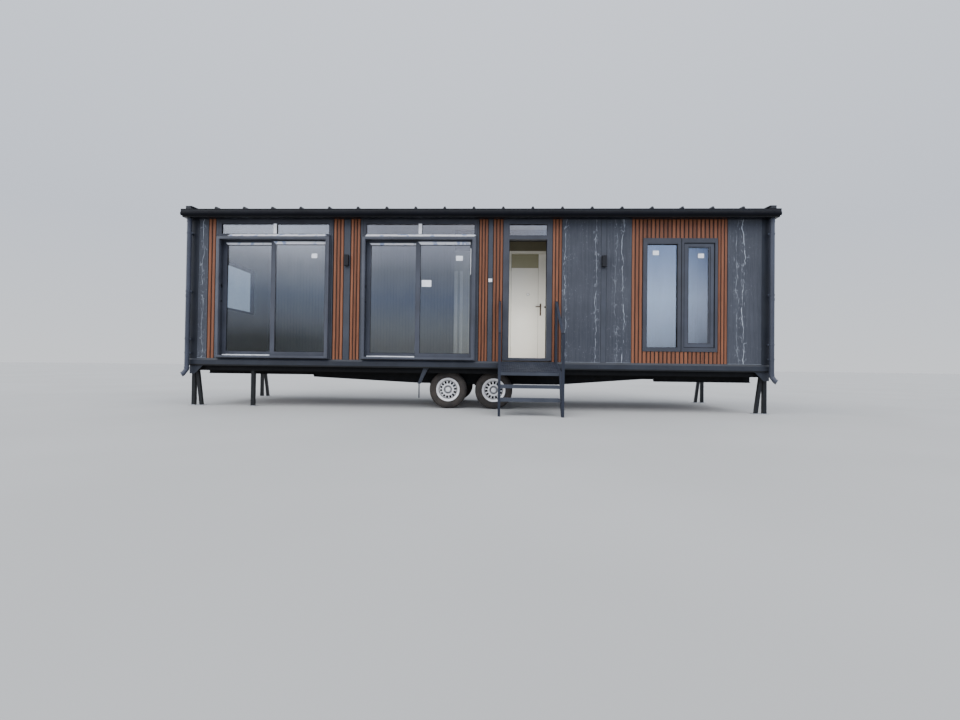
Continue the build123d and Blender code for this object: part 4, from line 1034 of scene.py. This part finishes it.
def make_steps():
    """Checker pattern on the landing and treads, painted lighter than its plate as painted highlight, bolts
    through the stringers, caps on the posts.
    """
    pattern, bolts, caps = shapes(3)
    lower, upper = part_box("landing_plate")
    slope = Vector((0, lower.y - upper.y, lower.z + 0.006 - upper.z))
    lozenges(pattern, (lower.x + 0.008, upper.y, upper.z), (1, 0, 0), slope,
             (upper.x - lower.x - 0.016, slope.length))
    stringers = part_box("stair_stringers")
    for start, end in solids("stair_treads"):
        lozenges(pattern, (start.x + 0.008, start.y + 0.006, end.z), (1, 0, 0), (0, 1, 0),
                 (end.x - start.x - 0.016, end.y - start.y - 0.012))
        for x, out in ((stringers[0].x, -1), (stringers[1].x, 1)):
            for y in (start.y + 0.06, start.y + 0.12):
                if y > stringers[0].y + 0.05:
                    bolts.hexagon((x, y, end.z - 0.02), (out, 0, 0), 0.008, 0.007)
    grow = 0.0015
    for start, end in solids("stair_posts"):
        caps.block((start.x - grow, end.x + grow), (start.y - grow, end.y + grow),
                   (end.z - 0.004, end.z + 0.009))
    pattern.make("checker_pattern", "checker_painted_highlight", angle=20)
    bolts.make("step_bolts", "rail_coat")
    caps.make("post_caps", "lamp_black", bevel=0.003, segments=2)


# Wheels
def wheel_place(side, end):
    """The middle of a tyre's outer face, the sign of the way in, and the tyre's radius and width."""
    lower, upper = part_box(f"tyre_{side}_{end}")
    hub = centre((lower, upper))
    hub.y, inward = (lower.y, 1) if side == "front" else (upper.y, -1)
    return hub, inward, (upper.z - lower.z) / 2, upper.y - lower.y


# Half of a tyre's section, as place in from the outer wall, drop below the tread and share of the cut
tyre_section = (
    (0.014, 0.1425, 0), (0.014, 0.1245, 0), (0.0095, 0.121, 0), (0.0055, 0.113, 0), (0.0042, 0.106, 0),
    (0.003, 0.1045, 0), (0.003, 0.1015, 0), (0.003, 0.1, 0), (0.0008, 0.086, 0), (0, 0.071, 0),
    (0.0007, 0.058, 0), (0.0022, 0.049, 0), (0.001, 0.0475, 0), (0.0016, 0.044, 0), (0.0036, 0.0425, 0),
    (0.0065, 0.03, 0.3), (0.0115, 0.0175, 1), (0.0185, 0.009, 1), (0.027, 0.0045, 1), (0.04, 0.002, 1),
    (0.0515, 0.0012, 0.7), (0.0525, 0.0085, 0), (0.0575, 0.0085, 0), (0.0585, 0.0008, 0.5),
    (0.0785, 0.0002, 0), (0.0795, 0.0085, 0), (0.085, 0.0085, 0), (0.086, 0, 0),
)

# Sections of a rim's barrel and of its middle, as place in from the tyre's outer wall and radius
rim_barrel = (
    (0.0135, 0.2072), (0.008, 0.2072), (0.005, 0.2045), (0.0052, 0.2005), (0.0085, 0.197), (0.013, 0.189),
    (0.02, 0.179), (0.028, 0.1695), (0.0325, 0.1625), (0.0335, 0.1565), (0.0385, 0.1565), (0.06, 0.164),
    (0.12, 0.168), (0.16, 0.181), (0.18, 0.184), (0.188, 0.197), (0.19, 0.2072), (0.182, 0.2072),
    (0.1805, 0.1895), (0.16, 0.1895), (0.13, 0.174), (0.05, 0.174), (0.03, 0.1893), (0.0145, 0.1893),
)
rim_middle = (
    (0.0228, 0.0985), (0.0195, 0.091), (0.0192, 0.085), (0.0225, 0.079), (0.034, 0.0715), (0.0395, 0.067),
    (0.0405, 0.062), (0.0405, 0.046), (0.036, 0.044), (0.024, 0.0425), (0.019, 0.04), (0.0165, 0.034),
    (0.0152, 0.02), (0.0148, 0), (0.06, 0), (0.06, 0.0203), (0.11, 0.0203), (0.11, 0.074), (0.054, 0.074),
    (0.029, 0.0985),
)

# Radii of the slotted ring, and how far in from the tyre's wall it lies at each
disc_radii = (0.098, 0.112, 0.13, 0.148, 0.158)
disc_depths = (0.0225, 0.0232, 0.0252, 0.029, 0.032)


def grooved_tyre(shape, hub, inward, radius, width):
    """A tyre with grooves cut across its shoulders, as loops of its section round the hub."""
    blocks_round, cut_depth = 60, 0.006
    block_phases = ((0.0, 0), (0.78, 0), (0.83, 1), (0.95, 1))
    mirrored = [(width - a, drop, cut) for a, drop, cut in reversed(tyre_section)]
    section = [*tyre_section, (width / 2, 0, 0), *mirrored]
    loops = []
    for block in range(blocks_round):
        for phase, grooved in block_phases:
            angle = 2 * pi * (block + phase) / blocks_round
            c, s = cos(angle), sin(angle)
            radii = [(a, radius - drop - cut_depth * cut * grooved) for a, drop, cut in section]
            loops.append([(hub.x + r * c, hub.y + inward * a, hub.z + r * s) for a, r in radii])
    shape.wrap(loops)


def slotted_disc(shape, place):
    """The ring of a pressed wheel disc with rounded slots all round."""
    inner, outer = disc_radii[0], disc_radii[-1]
    slot_radius, slot_half, slot_side, thickness = 0.1285, 0.0245, 0.0185, 0.005
    slot_count, count = 14, 16
    sector = 2 * pi / slot_count
    turns = [(cos(2 * pi * step / count), sin(2 * pi * step / count)) for step in range(count)]
    faces = []
    for step in range(count):
        after = (step + 1) % count
        faces += [(step, after, count + after, count + step),
                  (count + step, count + after, 3 * count + after, 3 * count + step),
                  (2 * count + after, 2 * count + step, 3 * count + step, 3 * count + after)]
        if step in (14, 15, 0, 1, 6, 7, 8, 9):
            faces.append((after, step, 2 * count + step, 2 * count + after))
    for middle in spread(slot_count, 0, 2 * pi):
        points = []
        for back in (0, thickness):
            for c, s in turns:
                reach = 1 / max(abs(c), abs(s))
                radius = (inner + outer) / 2 + (outer - inner) / 2 * c * reach
                points.append((radius, middle + s * reach * sector / 2, back))
            for c, s in turns:
                c, s = (abs(value) ** 0.65 * (1 if value > 0 else -1) for value in (c, s))
                points.append((slot_radius + slot_half * c, middle + slot_side * s / slot_radius, back))
        shape.add([place(-float(interp(radius, disc_radii, disc_depths)) - back, radius * cos(angle),
                         radius * sin(angle)) for radius, angle, back in points], faces)


def make_wheel(side, end):
    """A grooved tyre and a pressed steel rim in place of the CAD ones, with a cap, nuts and a valve."""
    name, body = f"{side}_{end}", f"wheel_{side}_{end}"
    tyre, rim, nuts, valve = shapes(4)
    hub, inward, radius, width = wheel_place(side, end)
    out = (0, -inward, 0)
    place = turned(hub, out)
    grooved_tyre(tyre, hub, inward, radius, width)
    for profile in (rim_barrel, rim_middle):
        rim.lathe([(-a, r) for a, r in profile], place, 72)
    slotted_disc(rim, place)

    def on_wheel(angle, reach):
        return turned(hub + Vector((cos(angle), 0, sin(angle))) * reach, out)

    for number in range(5):
        seat = on_wheel(2 * pi * number / 5 + pi / 2, 0.0575)
        nuts.rod(seat, -0.041, -0.0375, 0.0115, 24)
        nuts.lathe([(-0.038, 0), (-0.038, 0.0098), (-0.026, 0.0098), (-0.0235, 0.007), (-0.0235, 0)], seat, 6)
    valve.lathe([(-0.05, 0), (-0.05, 0.006), (-0.036, 0.004), (-0.02, 0.004), (-0.018, 0.003), (-0.018, 0)],
                on_wheel(radians(-64), 0.177), 16)
    tyre.make(f"tyre_tread_{name}", "tyre_rubber", body, replaces=(f"tyre_{name}",), angle=28)
    rim.make(f"slotted_rim_{name}", "rim_silver", body, replaces=(f"rim_{name}",))
    nuts.make(f"wheel_nuts_{name}", "bolt_zinc", body)
    valve.make(f"valve_{name}", "gasket_rubber", body)


# Chassis fittings
def outer_side(lower, upper):
    """The way out of the house and the face there, for a box on one of its long sides."""
    return ((0, -1, 0), lower.y) if lower.y < 0 else ((0, 1, 0), upper.y)


def make_chassis_details():
    """Brake shields inside the wheels, spring clamps over the axles, bolts in the legs and gussets."""
    shields, clamps, bolts = shapes(3)
    straight_leg, bolt_heights = 0.07, (0.18, 0.54)
    for side in sides:
        for end in ends:
            hub, inward, *_ = wheel_place(side, end)
            shields.lathe([(0.1655, 0), (0.1655, 0.152), (0.162, 0.158), (0.167, 0.158), (0.17, 0.152),
                           (0.17, 0)], turned(hub, (0, inward, 0)), 48)
    for beam in solids("main_beams")[:2]:
        y = centre(beam).y
        for end in ends:
            hub = wheel_place("front", end)[0]
            for start, top in ((-0.042, -0.034), (0.0635, 0.0705)):
                clamps.block((hub.x - 0.055, hub.x + 0.055), (y - 0.045, y + 0.045),
                             (hub.z + start, hub.z + top))
            for x in (hub.x - 0.043, hub.x + 0.043):
                for rod_y in (y - 0.034, y + 0.034):
                    clamps.rod(turned((x, rod_y, hub.z - 0.056), (0, 0, 1)), 0, 0.136, 0.005, 12)
                    bolts.hexagon((x, rod_y, hub.z - 0.042), (0, 0, -1), 0.009, 0.009)
                    bolts.hexagon((x, rod_y, hub.z + 0.0705), (0, 0, 1), 0.009, 0.009)
    for lower, upper in solids("levelling_legs"):
        if upper.x - lower.x <= straight_leg:
            outward, y = outer_side(lower, upper)
            for z in bolt_heights:
                bolts.hexagon((centre((lower, upper)).x, y, z), outward, 0.009, 0.008)
    for lower, upper in solids("corner_gussets"):
        side = 1 if lower.x > 0 else -1
        outward, y = outer_side(lower, upper)
        for inset in (0.03, 0.14):
            bolts.hexagon((side * (half_length - inset), y, upper.z - 0.02), outward, 0.007, 0.006)
    shields.make("brake_shields", "chassis_paint")
    clamps.make("spring_clamps", "chassis_paint", bevel=0.001)
    bolts.make("chassis_bolts", "leg_paint")


for build in (make_boards, make_slats, make_gaskets, make_entrance, make_surrounds, make_films, make_stickers,
              make_catches, make_inner_details, make_lamps, make_roof_fixings, make_gutter_details,
              make_ceiling, make_pipe_details, make_steps):
    build()
for side in sides:
    for end in ends:
        make_wheel(side, end)
make_chassis_details()


# Camera at the photographed view
def make_camera():
    place = Vector((0.421, front - 7.747, 0.7635))
    yaw, pitch, roll = -0.0375, 0.0125, -0.0125
    focal_pixels, frame_pixels, sensor = 450.314, 960, 36.0
    camera = new_object("camera", bpy.data.cameras.new("camera"))
    camera.data.lens = focal_pixels / frame_pixels * sensor
    camera.data.sensor_width = sensor
    camera.data.clip_end = 400
    camera.matrix_world = (Matrix.Translation(place) @ Matrix.Rotation(-yaw, 4, "Z")
                           @ Matrix.Rotation(pi / 2 + pitch, 4, "X") @ Matrix.Rotation(-roll, 4, "Z"))
    bpy.context.scene.camera = camera


# Studio
def make_floor():
    size, level = 150, -0.001
    corners = [(-size, -size, level), (size, -size, level), (size, size, level), (-size, size, level)]
    mesh = bpy.data.meshes.new("studio_floor")
    mesh.from_pydata(corners, [], [(0, 1, 2, 3)])
    material("studio_floor")
    tone = fade(noise(0.35, 3, 0.5), 0.3, 0.7)
    paint(blend(tone, (0.4, 0.4, 0.39), (0.43, 0.43, 0.42)), 0.85)
    mesh.materials.append(finishes["studio_floor"])
    new_object("studio_floor", mesh)


def make_world():
    """A soft dome: pale behind the house, and on the entrance side graded from the horizon up."""
    bpy.context.scene.world = bpy.data.worlds.new("studio")
    start_nodes(bpy.context.scene.world, "Background", "Generated")
    x, y, z = axes()
    above = ((0.44, (2.0, 2.05, 2.15)), (1.0, (1.9, 1.95, 2.05)))
    sky = ramp(z, (0.0, (1.0, 1.03, 1.06)), (0.08, (2.1, 2.15, 2.25)), (0.6, (2.4, 2.45, 2.55)), above[1])
    looks = [
        (-0.95, -0.55, ((0.0, (0.09, 0.09, 0.09)), (0.05, (0.1, 0.105, 0.11)), (0.085, (0.26, 0.28, 0.34)),
                        (0.14, (0.32, 0.38, 0.52)), (0.2, (0.75, 0.8, 0.95)), (0.25, (1.6, 1.68, 1.95)),
                        (0.32, (1.2, 1.35, 1.8)))),
        (-0.41, -0.22, ((0.0, (0.2, 0.2, 0.2)), (0.05, (0.3, 0.31, 0.33)), (0.085, (0.34, 0.37, 0.43)),
                        (0.14, (0.28, 0.335, 0.5)), (0.2, (0.45, 0.49, 0.6)), (0.25, (0.86, 0.9, 1.1)),
                        (0.32, (0.7, 0.7, 0.82)))),
        (0.02, 0.3, ((0.0, (0.3, 0.3, 0.3)), (0.06, (0.93, 1.13, 1.55)), (0.14, (1.43, 1.79, 2.5)),
                     (0.235, (0.82, 1.1, 1.8)), (0.33, (0.82, 1.0, 1.5)))),
        (0.34, 0.43, ((0.0, (0.3, 0.31, 0.33)), (0.05, (0.4, 0.45, 0.6)), (0.08, (0.62, 0.7, 0.95)),
                      (0.14, (0.84, 0.98, 1.37)), (0.235, (0.2, 0.3, 0.62)), (0.33, (0.6, 0.68, 0.95)))),
    ]
    for start, end, stops in looks:
        sky = blend(fade(x, start, end), sky, ramp(z, *stops, *above))
    behind = ramp(z, (0.0, (0.62, 0.64, 0.67)), (0.25, (0.56, 0.6, 0.68)), (1.0, (0.75, 0.79, 0.88)))
    surface(Color=blend(fade(y, -0.35, 0.35), sky, behind), Strength=1.5)


def make_lobby_light():
    """A soft lamp in the entrance that lights the inner door."""
    light = bpy.data.lights.new("lobby_softbox", "AREA")
    light.shape = "RECTANGLE"
    light.size, light.size_y = 0.56, 1.0
    light.energy = 11.5
    light.color = (1.0, 0.97, 0.88)
    lamp = new_object("lobby_softbox", light)
    lobby_x = 0.935
    lamp.location = (lobby_x, wall_inner + 0.02, 1.45)
    aim = Vector((lobby_x, wall_inner + 1.0, 1.4))
    lamp.rotation_euler = (aim - lamp.location).to_track_quat("-Z", "Y").to_euler()
    lamp.visible_camera = False


make_camera()
make_floor()
make_world()
make_lobby_light()
